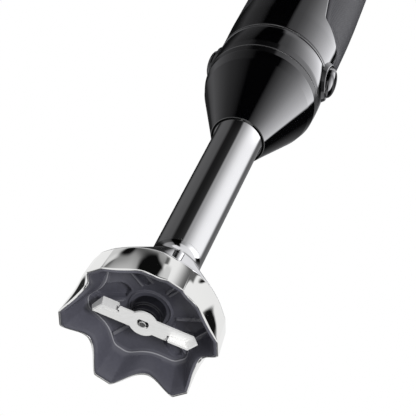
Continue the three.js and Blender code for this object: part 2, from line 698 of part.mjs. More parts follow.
function driveCoupling() {
  const top = cupRoofBottom + CUP_ROOF;
  const wallInner = DOG_REACH + DOG_PLAY;
  const cup = turned([
    [wallInner, cupBottom],
    [cupRadius, cupBottom],
    [cupRadius, cupRoofBottom + 1],
    [cupRadius - 2, top],
    [MOTOR_SHAFT_RADIUS + GAP, top],
    [MOTOR_SHAFT_RADIUS + GAP, cupRoofBottom],
    [wallInner, cupRoofBottom],
  ]);
  const catchInner = DRIVEN_RADIUS + DOG_PLAY;
  const halfPitch = Math.PI / DOGS;
  const ribs = dogs(catchInner, wallInner + 1, DOG_WIDTH, cupBottom + 1, cupRoofBottom + 1, halfPitch);
  return join(cup, ...ribs);
}

// ---------------------------------------------------------------- collar and release buttons

const bezelHalfWidth = RELEASE_HALF_WIDTH + BEZEL_WALL;
const bezelHalfHeight = RELEASE_HALF_HEIGHT + BEZEL_WALL;

const bezelBar = (grow, x0, x1) =>
  ovalBar(bezelHalfWidth + grow, bezelHalfHeight + grow, x0, x1, releaseHeight);
const bothSides = (make) => [make(), make().rotateZ(Math.PI)];

function collarRing() {
  const bottom = coneTop + GAP;
  const base = turned([
    [collarInner, bottom],
    [coneTopRadius, bottom],
    [collarRadius, (bottom + collarTop) / 2],
    [collarRadius - 0.9, collarTop - 1],
    [collarRadius - 0.9, collarTop],
    [COLLAR_FLANGE_BORE, collarTop],
    [COLLAR_FLANGE_BORE, collarTop - COLLAR_FLANGE],
    [collarInner, collarTop - COLLAR_FLANGE],
  ], 32);
  const room = block(-releaseReach, releaseReach, -releaseReach, releaseReach, bottom, handleTop);
  const [halfWidth, halfHeight] = [RELEASE_HALF_WIDTH + SLIDE, RELEASE_HALF_HEIGHT + SLIDE];
  const innermost = collarInner - COLLAR_WALL * 2;
  const windows = bothSides(() => ovalBar(halfWidth, halfHeight, innermost, releaseReach, releaseHeight));
  const ears = bothSides(() => common(bezelBar(0, collarInner - 0.6, bezelReach), room));
  return cut(join(base, ...ears), ...windows);
}

function releaseButton(yokeHeight) {
  const faceBase = collarRadius - 1;
  const cap = domedCap(releaseReach - faceBase).rotateY(Math.PI / 2);
  cap.scale(1, RELEASE_HALF_WIDTH, RELEASE_HALF_HEIGHT).translate(faceBase, 0, releaseHeight);
  const inner = spigotRadius + SLIDE;
  const bottom = yokeHeight - YOKE_THICKNESS / 2;
  const top = yokeHeight + YOKE_THICKNESS / 2;
  const loop = (radius) => [
    ...arcPoints(radius, -90, 90, 12, RELEASE_TRAVEL, 0),
    ...arcPoints(radius, 90, 270, 12, 0, 0),
  ];
  const yoke = prism(loop(inner + YOKE_WALL), bottom, top, [loop(inner).reverse()]);
  const stemHalf = YOKE_STEM_WIDTH / 2;
  const stem = block(inner + YOKE_WALL, faceBase + 1, -stemHalf, stemHalf, bottom, top);
  return join(cap, yoke, stem);
}

// ---------------------------------------------------------------- handle

const handleOutline = rounded([
  [HANDLE_FULL_RADIUS - 0.4, handleBottom],
  [HANDLE_FULL_RADIUS, handleBottom + HEEL_RISE, HEEL_ROUNDING],
  [HANDLE_FULL_RADIUS, handleBottom + FULL_RISE, FULL_ROUNDING],
  [HANDLE_WAIST_RADIUS, handleBottom + FULL_RISE + WAIST_RISE, WAIST_ROUNDING],
  [HANDLE_TOP_RADIUS, capTop],
], 8);
const handleRadius = (height) => radiusOn(handleOutline, height);

// Half the angle that the gloss front takes up at a height, in degrees.
const seamSide = handleBottom + SEAM_SIDE_RISE;
const seamFlare = seamSide + SEAM_FLARE_RISE;
const seamNeck = seamFlare + SEAM_NECK_RISE;
const seamOutline = rounded([
  [SEAM_ANGLES.foot, handleBottom],
  [SEAM_ANGLES.side, seamSide, 3],
  [SEAM_ANGLES.flare, seamFlare, 4],
  [SEAM_ANGLES.neck, seamNeck, SEAM_NECK_ROUNDING],
  [SEAM_ANGLES.top, handleTop],
], 3);
const seamAngle = (height) => radiusOn(seamOutline, height);

const flareRows = [-0.15, 0.25, 0.65, 1.05, 1.75].map((t) => seamSide + SEAM_FLARE_RISE * t);
const gripRows = [0, 0.14, 0.29, 0.43, 0.58, 0.78, 1].map((t) => seamNeck + (handleTop - seamNeck) * t);
const handleRows = [handleBottom, ...flareRows, ...gripRows];

// A shell of the handle between two angles that are functions of the height.
function handleShell(fromAt, toAt, columnCount) {
  const columns = Array.from({ length: columnCount + 1 }, (_, i) => i / columnCount);
  const pointAt = (inset) => (u, z) => {
    const angle = radians(fromAt(z) + (toAt(z) - fromAt(z)) * u);
    const r = handleRadius(z) - inset;
    return [r * Math.cos(angle), r * Math.sin(angle), z];
  };
  return plateOf(pointAt(0), pointAt(HANDLE_WALL), columns, handleRows);
}

const seamGapDegrees = (GAP / HANDLE_WAIST_RADIUS) * (180 / Math.PI) * 1.4;
const earCuts = () => bothSides(() => bezelBar(GAP, collarInner - COLLAR_WALL * 2, releaseReach));

function thumbWindow(height) {
  const bar = new THREE.CylinderGeometry(1, 1, HANDLE_FULL_RADIUS, 28);
  bar.scale(THUMB_HALF_WIDTH + SLIDE, 1, THUMB_HALF_HEIGHT + SLIDE);
  return bar.translate(0, -HANDLE_FULL_RADIUS, height);
}

function frontShell() {
  const shell = handleShell((z) => -90 - seamAngle(z), (z) => -90 + seamAngle(z), 12);
  return cut(shell, ...earCuts(), thumbWindow(powerHeight), thumbWindow(turboHeight));
}

function gripShell() {
  const from = (z) => -90 + seamAngle(z) + seamGapDegrees;
  const to = (z) => 270 - seamAngle(z) - seamGapDegrees;
  return cut(handleShell(from, to, 18), ...earCuts());
}

function thumbButton(height, y) {
  const outer = handleRadius(height) + THUMB_PROUD;
  const cap = domedCap(THUMB_DEPTH).rotateX(Math.PI / 2);
  cap.scale(THUMB_HALF_WIDTH, 1, THUMB_HALF_HEIGHT).translate(0, THUMB_DEPTH - outer, height);
  const stemEnd = y - THUMB_TRAVEL - GAP;
  const stemStart = THUMB_DEPTH - outer - 1;
  const stem = new THREE.CylinderGeometry(THUMB_STEM_RADIUS, THUMB_STEM_RADIUS, stemEnd - stemStart, 16);
  stem.translate(0, (stemStart + stemEnd) / 2, height);
  return join(cap, stem);
}

function topCap() {
  const bottom = handleTop + GAP;
  const top = capTop;
  const outer = handleRadius(bottom);
  const wellRadius = DIAL_RADIUS + SLIDE;
  const shell = turned([
    [0, top - HANDLE_WALL],
    [outer - CAP_ROUNDING, top - HANDLE_WALL],
    [outer - HANDLE_WALL, top - CAP_ROUNDING],
    [outer - HANDLE_WALL, bottom],
    ...rounded([[outer, bottom], [outer, top, CAP_ROUNDING], [0, top]]),
  ], 32);
  const well = rod(wellRadius + 1.6, dialFloor - 2, top - 1, 0, DIAL_Y, ROUND);
  const recess = rod(wellRadius, dialFloor, top + 1, 0, DIAL_Y, ROUND);
  const stemHole = rod(DIAL_STEM_RADIUS + SLIDE, bottom, top, 0, DIAL_Y);
  const glandHole = rod(GLAND_RADIUS + GAP, bottom, top + 1, 0, GLAND_Y);
  return cut(join(shell, well), recess, stemHole, glandHole);
}

function dialKnob() {
  const top = capTop + DIAL_RISE;
  const bottom = dialFloor + GAP;
  const outline = Array.from({ length: DIAL_RIDGES * 2 }, (_, i) => {
    const radius = DIAL_RADIUS - (i % 2) * DIAL_RIDGE_DEPTH;
    const angle = (i / DIAL_RIDGES) * Math.PI;
    return [radius * Math.cos(angle), radius * Math.sin(angle)];
  });
  const knob = prism(outline, bottom, top - 1);
  const side = DIAL_RADIUS - 1;
  const crown = turned([[0, bottom + 1], [side, bottom + 1], [side, top - 0.8], [side - 1, top], [0, top]]);
  const stem = rod(DIAL_STEM_RADIUS, potBottom + POT_HEIGHT + GAP, bottom + 1);
  return join(knob, crown, stem);
}

function cordGland() {
  const bottom = capTop - HANDLE_WALL - GLAND_SKIRT;
  return turned([
    [GLAND_BORE, bottom],
    [GLAND_RADIUS, bottom],
    [GLAND_RADIUS, capTop + GAP],
    [GLAND_RADIUS + GLAND_FLANGE, capTop + GAP],
    [GLAND_RADIUS + GLAND_FLANGE, capTop + GLAND_RISE - 1],
    [GLAND_RADIUS, capTop + GLAND_RISE],
    [GLAND_BORE, capTop + GLAND_RISE],
  ], SMALL_ROUND);
}

// ---------------------------------------------------------------- motor

// The bore that the handle's shells leave for the motor, and the motor's radii inside it.
const shellBore = (height) => handleRadius(height) - HANDLE_WALL;
const lowerPlateRadius = shellBore(handleBottom) - PLATE_CLEARANCE;
const statorRadius = shellBore(statorTop) - STATOR_CLEARANCE;
const statorInnerRadius = statorRadius - STATOR_YOKE;
const poleBore = statorInnerRadius - POLE_DEPTH;
const armatureRadius = poleBore - AIR_GAP;
const upperPlateRadius = shellBore(upperPlateBottom + BRACKET_PLATE) - PLATE_CLEARANCE;
const screwCircle = upperPlateRadius - SCREW_INSET;
const fanRadius = screwCircle - SCREW_BOSS_RADIUS - FAN_CLEARANCE;
const boardHalfWidth = HANDLE_WAIST_RADIUS - HANDLE_WALL - BOARD_CLEARANCE;
const shaftBore = MOTOR_SHAFT_RADIUS + GAP;
const screwSides = [["rear", 1], ["front", -1]];
const brushSides = [["right", 0], ["left", Math.PI]];

const screwHoles = (bottom, top) =>
  screwSides.map(([, side]) => rod(SCREW_RADIUS + GAP, bottom, top, 0, side * screwCircle, 12));

const screwPosts = (bottom, top) =>
  screwSides.map(([, side]) => rod(SCREW_BOSS_RADIUS, bottom, top, 0, side * screwCircle, 16));

function motorShaft() {
  return rod(MOTOR_SHAFT_RADIUS, cupRoofBottom + GAP, motorShaftTop);
}

// A sector of a ring, in plan, centred on the front or the back.
function sector(inner, outer, middle, halfAngle, bottom, top, steps = 12) {
  const outline = [
    ...arcPoints(outer, middle - halfAngle, middle + halfAngle, steps),
    ...arcPoints(inner, middle + halfAngle, middle - halfAngle, steps),
  ];
  return prism(outline, bottom, top);
}

function statorCore() {
  const yoke = ring(statorInnerRadius, statorRadius, statorBottom, statorTop, 36);
  const poles = [90, 270].map((middle) =>
    sector(poleBore, statorInnerRadius + 1, middle, POLE_HALF_ANGLE, statorBottom, statorTop),
  );
  return cut(join(yoke, ...poles), ...screwHoles(statorBottom - 1, statorTop + 1));
}

function fieldCoil(middle) {
  const inner = poleBore + AIR_GAP;
  const outer = statorInnerRadius - GAP;
  const clear = POLE_HALF_ANGLE + 2;
  const bottom = statorBottom - COIL_OVERHANG;
  const top = statorTop + COIL_OVERHANG;
  const coil = sector(inner, outer, middle, COIL_HALF_ANGLE, bottom, top);
  const core = sector(inner - 2, outer + 2, middle, clear, statorBottom - GAP, statorTop + GAP);
  return cut(coil, core);
}

function armatureCore() {
  const slotRadius = armatureRadius - ARMATURE_SLOT_DEPTH;
  const outline = Array.from({ length: ARMATURE_SLOTS }, (_, i) => {
    const middle = (i / ARMATURE_SLOTS) * 360;
    const half = 180 / ARMATURE_SLOTS;
    const tooth = arcPoints(armatureRadius, middle - half * 0.75, middle + half * 0.75, 3);
    const slot = arcPoints(slotRadius, middle + half * 0.7, middle + half * 1.3, 1);
    return [...tooth, ...slot];
  }).flat();
  return prism(outline, armatureBottom, armatureTop, [arcPoints(shaftBore, 360, 18, 19)]);
}

function winding(bottom, top) {
  const outer = armatureRadius - WINDING_INSET;
  const edge = (top - bottom) / 4;
  return turned([
    [shaftBore, bottom + edge / 2],
    [outer - edge, bottom],
    [outer, bottom + edge],
    [outer, top - edge],
    [outer - edge, top],
    [shaftBore, top - edge / 2],
  ], 28);
}

function commutator() {
  return ring(shaftBore, COMMUTATOR_RADIUS, commutatorBottom, commutatorBottom + COMMUTATOR_HEIGHT, 24);
}

function coolingFan() {
  const top = fanBottom + FAN_HEIGHT;
  const hub = rod(FAN_HUB_RADIUS, fanBottom, top);
  const disc = rod(fanRadius, fanBottom, fanBottom + FAN_DISC, 0, 0, ROUND);
  const vanes = Array.from({ length: FAN_BLADES }, (_, i) =>
    block(FAN_HUB_RADIUS - 1, fanRadius - 0.5, -0.6, 0.6, fanBottom + FAN_DISC / 2, top - 1)
      .rotateZ((i / FAN_BLADES) * 2 * Math.PI),
  );
  return cut(join(hub, disc, ...vanes), rod(shaftBore, fanBottom - 1, top + 1));
}

function ballBearing(bottom) {
  return ring(shaftBore, BEARING_RADIUS, bottom, bottom + BEARING_HEIGHT, SMALL_ROUND);
}

const lowerPlateBottom = handleBottom + GAP;
const lowerBearingBottom = lowerPlateBottom + 2;

// A bearing plate: a disc with a bearing seat, a shaft hole, and two screw posts that reach the stator.
function bearingPlate(radius, bottom, bearingBottom, postBottom, postTop) {
  const plate = rod(radius, bottom, bottom + BRACKET_PLATE, 0, 0, 36);
  const bearingTop = bearingBottom + BEARING_HEIGHT;
  const seatRadius = BEARING_RADIUS + GAP;
  const seatWall = rod(seatRadius + BEARING_SEAT_WALL, bottom, bearingTop);
  const seat = rod(seatRadius, bearingBottom - GAP, bearingTop + 1);
  const shaftHole = rod(MOTOR_SHAFT_RADIUS + 1.5, bottom - 1, bearingBottom + 1);
  const body = join(plate, seatWall, ...screwPosts(postBottom, postTop));
  return cut(body, seat, shaftHole, ...screwHoles(postBottom - 1, postTop + BRACKET_PLATE));
}

function lowerBracket() {
  const posts = [lowerPlateBottom, statorBottom - GAP];
  return bearingPlate(lowerPlateRadius, lowerPlateBottom, lowerBearingBottom, ...posts);
}

function upperBracket() {
  const posts = [statorTop + GAP, upperPlateBottom + BRACKET_PLATE];
  return bearingPlate(upperPlateRadius, upperPlateBottom, upperBearingBottom, ...posts);
}

function motorScrew() {
  const seat = upperPlateBottom + BRACKET_PLATE + GAP;
  const top = seat + SCREW_HEAD_HEIGHT;
  const shank = rod(SCREW_RADIUS, lowerPlateBottom + 1, seat + 1, 0, 0, 12);
  const head = rod(SCREW_HEAD_RADIUS, seat, top, 0, 0, 16);
  const drive = block(-SCREW_HEAD_RADIUS, SCREW_HEAD_RADIUS, -0.4, 0.4, top - 0.8, top + 1);
  return cut(join(shank, head), drive);
}

const brushStart = COMMUTATOR_RADIUS + GAP;
const holderStart = brushStart + 0.8;
const brushEnd = brushStart + BRUSH_LENGTH;
const holderEnd = upperPlateRadius - HOLDER_INSET;
const springEnd = holderEnd - HOLDER_WALL - GAP;

// A box tube round the brush, hung from the upper plate by a rib.
function brushHolder() {
  const halfWidth = BRUSH_WIDTH / 2 + GAP + HOLDER_WALL;
  const halfHeight = BRUSH_HEIGHT / 2 + GAP + HOLDER_WALL;
  const [bottom, top] = [brushCentre - halfHeight, brushCentre + halfHeight];
  const body = block(holderStart, holderEnd, -halfWidth, halfWidth, bottom, top);
  const rib = block(holderStart, holderEnd, -1, 1, top - 0.5, upperPlateBottom - GAP);
  const room = block(
    0,
    holderEnd - HOLDER_WALL,
    HOLDER_WALL - halfWidth,
    halfWidth - HOLDER_WALL,
    bottom + HOLDER_WALL,
    top - HOLDER_WALL,
  );
  return cut(join(body, rib), room);
}

function carbonBrush() {
  const [w, h] = [BRUSH_WIDTH / 2, BRUSH_HEIGHT / 2];
  return block(brushStart, brushEnd, -w, w, brushCentre - h, brushCentre + h);
}

function brushSpring() {
  const start = brushEnd + GAP + SPRING_WIRE;
  const length = springEnd - SPRING_WIRE - start;
  const coilRadius = BRUSH_WIDTH / 2 - SPRING_WIRE;
  const stepsPerTurn = 8;
  const points = Array.from({ length: SPRING_TURNS * stepsPerTurn + 1 }, (_, i) => {
    const angle = (i / stepsPerTurn) * 2 * Math.PI;
    const x = start + (length * i) / (SPRING_TURNS * stepsPerTurn);
    const [y, z] = [coilRadius * Math.cos(angle), coilRadius * Math.sin(angle)];
    return new THREE.Vector3(x, y, brushCentre + z);
  });
  const extrudePath = new THREE.CatmullRomCurve3(points);
  const section = new THREE.Shape(arcPoints(SPRING_WIRE, 0, 300, 5).map((p) => new THREE.Vector2(...p)));
  return new THREE.ExtrudeGeometry(section, { steps: points.length - 1, extrudePath, bevelEnabled: false });
}

// ---------------------------------------------------------------- electronics

const switchFront = BOARD_FRONT_Y - GAP - SWITCH_DEPTH;

function controlBoard() {
  const back = BOARD_FRONT_Y + BOARD_THICKNESS;
  return block(-boardHalfWidth, boardHalfWidth, BOARD_FRONT_Y, back, boardBottom, boardTop);
}

function buttonSwitch(height) {
  const back = BOARD_FRONT_Y - GAP;
  const [w, h] = [SWITCH_WIDTH / 2, SWITCH_HEIGHT / 2];
  return block(-w, w, switchFront, back, height - h, height + h);
}

function speedPotentiometer() {
  const half = POT_WIDTH / 2;
  const body = block(-half, half, DIAL_Y - half, DIAL_Y + half, potBottom, potBottom + POT_HEIGHT);
  const [lugFront, lugBack] = [BOARD_FRONT_Y - 2.5, BOARD_FRONT_Y - GAP];
  const lug = block(-half + 2, half - 2, lugFront, lugBack, boardTop - 5, potBottom + 1);
  return join(body, lug);
}

function capacitor() {
  const [w, d, h] = CAPACITOR_SIZE;
  const front = BOARD_FRONT_Y + BOARD_THICKNESS + GAP;
  const middle = boardBottom + CAPACITOR_RISE;
  return block(-w / 2, w / 2, front, front + d, middle - h / 2, middle + h / 2);
}

// ---------------------------------------------------------------- assembly

const blender = new THREE.Group();

function add(name, geometry, material, place = [0, 0, 0], turn = 0) {
  const mesh = new THREE.Mesh(geometry, material);
  mesh.name = name;
  mesh.position.set(...place);
  mesh.rotation.z = turn;
  blender.add(mesh);
}

add("bell_shell", bellShell(), steel);
add("bell_liner", bellLiner(), linerGrey);
add("shaft_tube", shaftTube(), steel);
add("tube_sleeve", tubeSleeve(), innerPlastic);
add("coupling_cone", couplingCone(), glossBlack);
add("lower_bush", lowerBush(), bronze);
add("shaft_seal", shaftSeal(), sealBlack);
add("upper_bush", upperBush(), bronze);
add("bush_carrier", bushCarrier(), innerPlastic);

add("drive_shaft", driveShaft(), plainSteel, [0, 0, 0], radians(BLADE_ANGLE));
add("blade", blade(), bladeSteel, [0, 0, 0], radians(BLADE_ANGLE));
add("driven_coupling", drivenCoupling(), darkPlastic);
add("shaft_clip", shaftClip(), plainSteel);

add("drive_coupling", driveCoupling(), darkPlastic);
add("motor_shaft", motorShaft(), plainSteel);
add("armature_core", armatureCore(), laminate);
add("lower_winding", winding(lowerWindingBottom, armatureBottom - GAP), copper);
add("upper_winding", winding(armatureTop + GAP, upperWindingTop), copper);
add("commutator", commutator(), copper);
add("cooling_fan", coolingFan(), darkPlastic);

add("collar_ring", collarRing(), glossBlack);
add("front_shell", frontShell(), glossBlack);
add("grip_shell", gripShell(), gripCharcoal);
add("top_cap", topCap(), glossBlack);
add("cord_gland", cordGland(), sealBlack, [0, GLAND_Y, 0]);
add("lower_bracket", lowerBracket(), innerPlastic);
add("upper_bracket", upperBracket(), innerPlastic);
add("lower_bearing", ballBearing(lowerBearingBottom), plainSteel);
add("upper_bearing", ballBearing(upperBearingBottom), plainSteel);
add("stator_core", statorCore(), laminate);
add("front_coil", fieldCoil(270), copper);
add("rear_coil", fieldCoil(90), copper);
for (const [side, sign] of screwSides) {
  add(`motor_screw_${side}`, motorScrew(), plainSteel, [0, sign * screwCircle, 0]);
}
for (const [side, turn] of brushSides) {
  add(`brush_holder_${side}`, brushHolder(), darkPlastic, [0, 0, 0], turn);
  add(`carbon_brush_${side}`, carbonBrush(), carbon, [0, 0, 0], turn);
  add(`brush_spring_${side}`, brushSpring(), plainSteel, [0, 0, 0], turn);
  add(`release_button_${side}`, releaseButton(yokeHeights[side]), glossBlack, [0, 0, 0], turn);
}
add("control_board", controlBoard(), boardGreen);
add("power_switch", buttonSwitch(powerHeight), darkPlastic);
add("turbo_switch", buttonSwitch(turboHeight), darkPlastic);
add("speed_potentiometer", speedPotentiometer(), darkPlastic);
add("capacitor", capacitor(), capacitorYellow);
add("power_button", thumbButton(powerHeight, switchFront), glossBlack);
add("turbo_button", thumbButton(turboHeight, switchFront), glossBlack);
add("speed_dial", dialKnob(), darkPlastic, [0, DIAL_Y, 0]);

export default blender;
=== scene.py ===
"""Looks of the immersion blender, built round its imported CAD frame.

Lengths are millimetres in the CAD frame until solid() turns them into metres. The stage is in metres.
The heights and radii repeat those of the CAD model, and the inner pieces are the CAD nodes themselves.
"""

import json
import math

import bmesh
import bpy
import numpy as np
from mathutils import Matrix, Vector

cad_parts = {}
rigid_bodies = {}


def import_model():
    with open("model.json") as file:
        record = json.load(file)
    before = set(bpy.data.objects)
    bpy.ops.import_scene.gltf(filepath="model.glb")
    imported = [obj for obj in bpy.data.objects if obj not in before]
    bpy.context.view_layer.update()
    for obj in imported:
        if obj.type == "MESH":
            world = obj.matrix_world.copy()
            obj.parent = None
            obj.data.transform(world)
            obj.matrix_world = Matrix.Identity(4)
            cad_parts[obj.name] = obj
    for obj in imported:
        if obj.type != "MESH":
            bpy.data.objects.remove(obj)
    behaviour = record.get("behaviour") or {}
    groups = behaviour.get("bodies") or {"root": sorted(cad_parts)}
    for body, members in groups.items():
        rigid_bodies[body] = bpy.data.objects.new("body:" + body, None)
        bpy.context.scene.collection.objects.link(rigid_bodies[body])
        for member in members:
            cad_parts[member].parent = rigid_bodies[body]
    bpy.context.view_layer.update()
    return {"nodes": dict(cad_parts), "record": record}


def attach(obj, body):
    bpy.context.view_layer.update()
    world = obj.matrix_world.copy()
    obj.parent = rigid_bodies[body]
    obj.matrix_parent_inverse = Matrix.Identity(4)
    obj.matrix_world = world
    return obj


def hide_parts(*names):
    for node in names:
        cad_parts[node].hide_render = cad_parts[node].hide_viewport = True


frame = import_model()

# -------- sizes shared with the CAD model

GAP = 0.3
TUBE_RADIUS = 10.7
TUBE_TOP = 150.2
CONE_LIP = 135.5
CONE_CREASE = 165.0
CONE_TOP = 174.0
COLLAR_RADIUS = 26.8
COLLAR_TOP = 192.4
HANDLE_BOTTOM = COLLAR_TOP + GAP
HANDLE_TOP = 384.3
CAP_TOP = 395.3
HANDLE_WALL = 2.2
RELEASE_HEIGHT = 191.0
POWER_HEIGHT = 352.3
TURBO_HEIGHT = 328.3

# Bell: six narrow feet, with a wide hollow side and an arched rim between each two.
FEET = 6
FOOT_RADIUS = 33.3
FOOT_WIDTH = 7.2
ARCH_HEIGHT = 6.2
BELL_WALL = 0.8
BELL_DRAFT_ANGLE = 5.7
SHOULDER_HEIGHT = 14.6
FLANK_ANGLE = 36.9
NECK_FILLET = 18.6
SIDE_HOLLOW = 4.6
HOLLOW_FADE = 17
SIDE_DRAFT = 0.03
DOME_BASE = 42.6
DOME_BEND = (28.0, 19.7)
CREASE_SOFTNESS = 0.3

LINER_EDGE = 1.2
LINER_CLEARANCE = 0.12
LINER_WALL = 1.8
LINER_ROOF_RADIUS = 26.4
LINER_ROOF_HEIGHT = 12.9
LINER_ROOF_RISE = 2.8
HUB_BORE = 6
HUB_WALL = 2
HUB_TOP = 30

SEAL_BOTTOM = 8.4
SEAL_NOSE_RADIUS = 5.9
SEAL_NOSE_HEIGHT = 3
SEAL_STEP_RADIUS = 6.9
SEAL_PLUG_HEIGHT = 4.3
SHAFT_RADIUS = 3
SHAFT_END_RADIUS = 2.25
SHAFT_END_FLATS = 3.2
SHAFT_TIP_RADIUS = 1.5
SHAFT_TOP = 182.7
BLADE_BOTTOM = 6
BLADE_THICKNESS = 1
BLADE_HUB_RADIUS = 6
BLADE_ARM_WIDTH = 7.4
BLADE_FOLD_INSET = 3.3
BLADE_WING_START = 11.6
BLADE_WING_END = 17.2
BLADE_TIP_END = 20.4
BLADE_NOTCH = 0.8
BLADE_ANGLE = 16

# -------- shape helpers

MM = 0.001


def smooth(t):
    t = np.clip(t, 0.0, 1.0)
    return t * t * (3 - 2 * t)


def rounded(points, steps):
    """The points (across, up), with each corner that has a third value rounded to that radius."""
    out = []
    for i, point in enumerate(points):
        corner = np.array(point[:2], float)
        if len(point) == 2:
            out.append(corner)
            continue
        before = np.array(points[i - 1][:2], float) - corner
        after = np.array(points[(i + 1) % len(points)][:2], float) - corner
        before /= np.linalg.norm(before)
        after /= np.linalg.norm(after)
        half = math.acos(np.clip(before @ after, -1, 1)) / 2
        reach = point[2] / math.tan(half)
        middle = before + after
        centre = corner + middle / np.linalg.norm(middle) * point[2] / math.sin(half)
        start = corner + before * reach - centre
        end = corner + after * reach - centre
        turn = math.atan2(start[0] * end[1] - start[1] * end[0], start @ end)
        for s in range(steps + 1):
            c, n = math.cos(turn * s / steps), math.sin(turn * s / steps)
            out.append(centre + (start[0] * c - start[1] * n, start[0] * n + start[1] * c))
    return np.array(out)


def dense(outline, longest, guard=0.12):
    """The outline with long stretches split up, and a short step beside each corner for crisp shading."""
    outline = np.array(outline, float)
    out = [outline[0]]
    for a, b in zip(outline[:-1], outline[1:]):
        length = np.linalg.norm(b - a)
        if length < 1e-9:
            continue
        if length > guard * 4:
            inner = max(1, math.ceil((length - 2 * guard) / longest))
            ts = [guard / length + (1 - 2 * guard / length) * k / inner for k in range(inner + 1)]
            out += [a + (b - a) * t for t in ts]
        out.append(b)
    return np.array(out)


def radius_at(outline):
    """A function that gives the radius of a rising outline at a height."""
    outline = np.array(outline, float)
    return lambda z: np.interp(z, outline[:, 1], outline[:, 0])


def full_turn(count):
    """Angles of points evenly round a circle."""
    return np.linspace(0, 2 * math.pi, count, endpoint=False)


def polar(radius, angle, z):
    radius, angle, z = np.broadcast_arrays(radius, angle, z)
    return np.stack([radius * np.cos(angle), radius * np.sin(angle), z], axis=-1)


def new_object(name, data):
    obj = bpy.data.objects.new(name, data)
    bpy.context.scene.collection.objects.link(obj)
    return obj


def solid(name, vertices, faces, merge=1e-6, dissolve=0.0):
    """A mesh object from millimetre vertices, with doubled points merged and all faces turned outward."""
    mesh = bpy.data.meshes.new(name)
    mesh.from_pydata((np.asarray(vertices, float) * MM).tolist(), [], [list(map(int, f)) for f in faces])
    tidy = bmesh.new()
    tidy.from_mesh(mesh)
    bmesh.ops.remove_doubles(tidy, verts=tidy.verts, dist=merge)
    if dissolve:
        bmesh.ops.dissolve_degenerate(tidy, edges=tidy.edges, dist=dissolve)
    bmesh.ops.recalc_face_normals(tidy, faces=tidy.faces)
    tidy.to_mesh(mesh)
    tidy.free()
    mesh.update()
    return new_object(name, mesh)


def shade(obj, sharp=32.0):
    obj.data.polygons.foreach_set("use_smooth", [True] * len(obj.data.polygons))
    obj.data.set_sharp_from_angle(angle=math.radians(sharp))


def adopt(obj, name, slot, body, replaced=None, sharp=32.0):
    """Makes a solid a piece that rides on a CAD body and may stand for a CAD node."""
    obj.name = name
    obj.data.name = name
    obj.data.materials.clear()
    obj.data.materials.append(finishes[slot])
    shade(obj, sharp)
    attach(obj, body)
    if replaced:
        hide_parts(replaced)
    return obj


def add_piece(name, points, faces, *rest, **more):
    vertices = np.reshape(points, (-1, 3))
    return adopt(solid(name, vertices, faces, merge=2e-6, dissolve=1e-6), name, *rest, **more)


def grid_faces(rows, columns, wrap_rows=False, wrap_columns=False):
    """Quads of a grid of points in row order."""
    i = np.arange(rows if wrap_rows else rows - 1)
    j = np.arange(columns if wrap_columns else columns - 1)
    i, j = np.meshgrid(i, j, indexing="ij")
    i2, j2 = (i + 1) % rows, (j + 1) % columns
    quads = np.stack([i * columns + j, i * columns + j2, i2 * columns + j2, i2 * columns + j], axis=-1)
    return quads.reshape(-1, 4).tolist()


def lathe(name, corners, steps, longest, segments, *rest, centre=(0, 0), **more):
    """A turned piece. Its corners of (radius, height) either start and end on the axis or go all round."""
    outline = dense(rounded(corners, steps), longest)
    points = polar(outline[:, :1], full_turn(segments), outline[:, 1:]) + (*centre, 0)
    faces = grid_faces(len(outline), segments, wrap_rows=outline[0, 0] > 1e-9, wrap_columns=True)
    return add_piece(name, points, faces, *rest, **more)


def ring_of(name, section_at, angles, *rest, **more):
    """A closed ring whose section of (radius, height) points depends on the angle."""
    sections = np.array([section_at(a) for a in angles])
    points = polar(sections[..., 0], np.array(angles)[:, None], sections[..., 1])
    faces = grid_faces(len(angles), sections.shape[1], wrap_rows=True, wrap_columns=True)
    return add_piece(name, points, faces, *rest, **more)


def carve(obj, *tools, operation="DIFFERENCE"):
    """Booleans the tools with the piece, shades it again and leaves no modifier behind."""
    for tool in tools:
        modifier = obj.modifiers.new("carve", "BOOLEAN")
        modifier.operation = operation
        modifier.solver = "EXACT"
        modifier.object = tool
    bpy.context.view_layer.update()
    evaluated = obj.evaluated_get(bpy.context.evaluated_depsgraph_get())
    mesh = bpy.data.meshes.new_from_object(evaluated)
    obj.modifiers.clear()
    old = obj.data
    mesh.name = old.name
    obj.data = mesh
    bpy.data.meshes.remove(old)
    for tool in tools:
        data = tool.data
        bpy.data.objects.remove(tool)
        bpy.data.meshes.remove(data)
    shade(obj)


def between_rings(low, high):
    """A closed solid between two rings of points, for cutting or joining."""
    count = len(low)
    sides = [[j, (j + 1) % count, count + (j + 1) % count, count + j] for j in range(count)]
    ends = [list(range(count))[::-1], list(range(count, 2 * count))]
    return solid("cutter", np.concatenate([low, high]), sides + ends)


def oval_bar(half_width, half_height, x0, x1, height, segments=96):
    """An oval bar along X."""
    oval = [half_width * np.cos(full_turn(segments)), height + half_height * np.sin(full_turn(segments))]
    return between_rings(*(np.stack([np.full(segments, float(x)), *oval], axis=-1) for x in (x0, x1)))


def prism(outline, bottom, top):
    """An upright block."""
    outline = np.array(outline, float)
    return between_rings(*(np.column_stack([outline, np.full(len(outline), z)]) for z in (bottom, top)))


# -------- materials


def new_material(name, colour, roughness, metallic=0.0, **sockets):
    material = bpy.data.materials.new(name)
    material.use_nodes = True
    shader = material.node_tree.nodes["Principled BSDF"]
    sockets |= {"Base_Color": (*colour, 1), "Roughness": roughness, "Metallic": metallic}
    for socket, value in sockets.items():
        shader.inputs[socket.replace("_", " ")].default_value = value
    return material


def join(tree, source, socket):
    """Links a socket to another one, or sets it to a value."""
    if isinstance(source, bpy.types.NodeSocket):
        tree.links.new(source, socket)
    else:
        socket.default_value = source


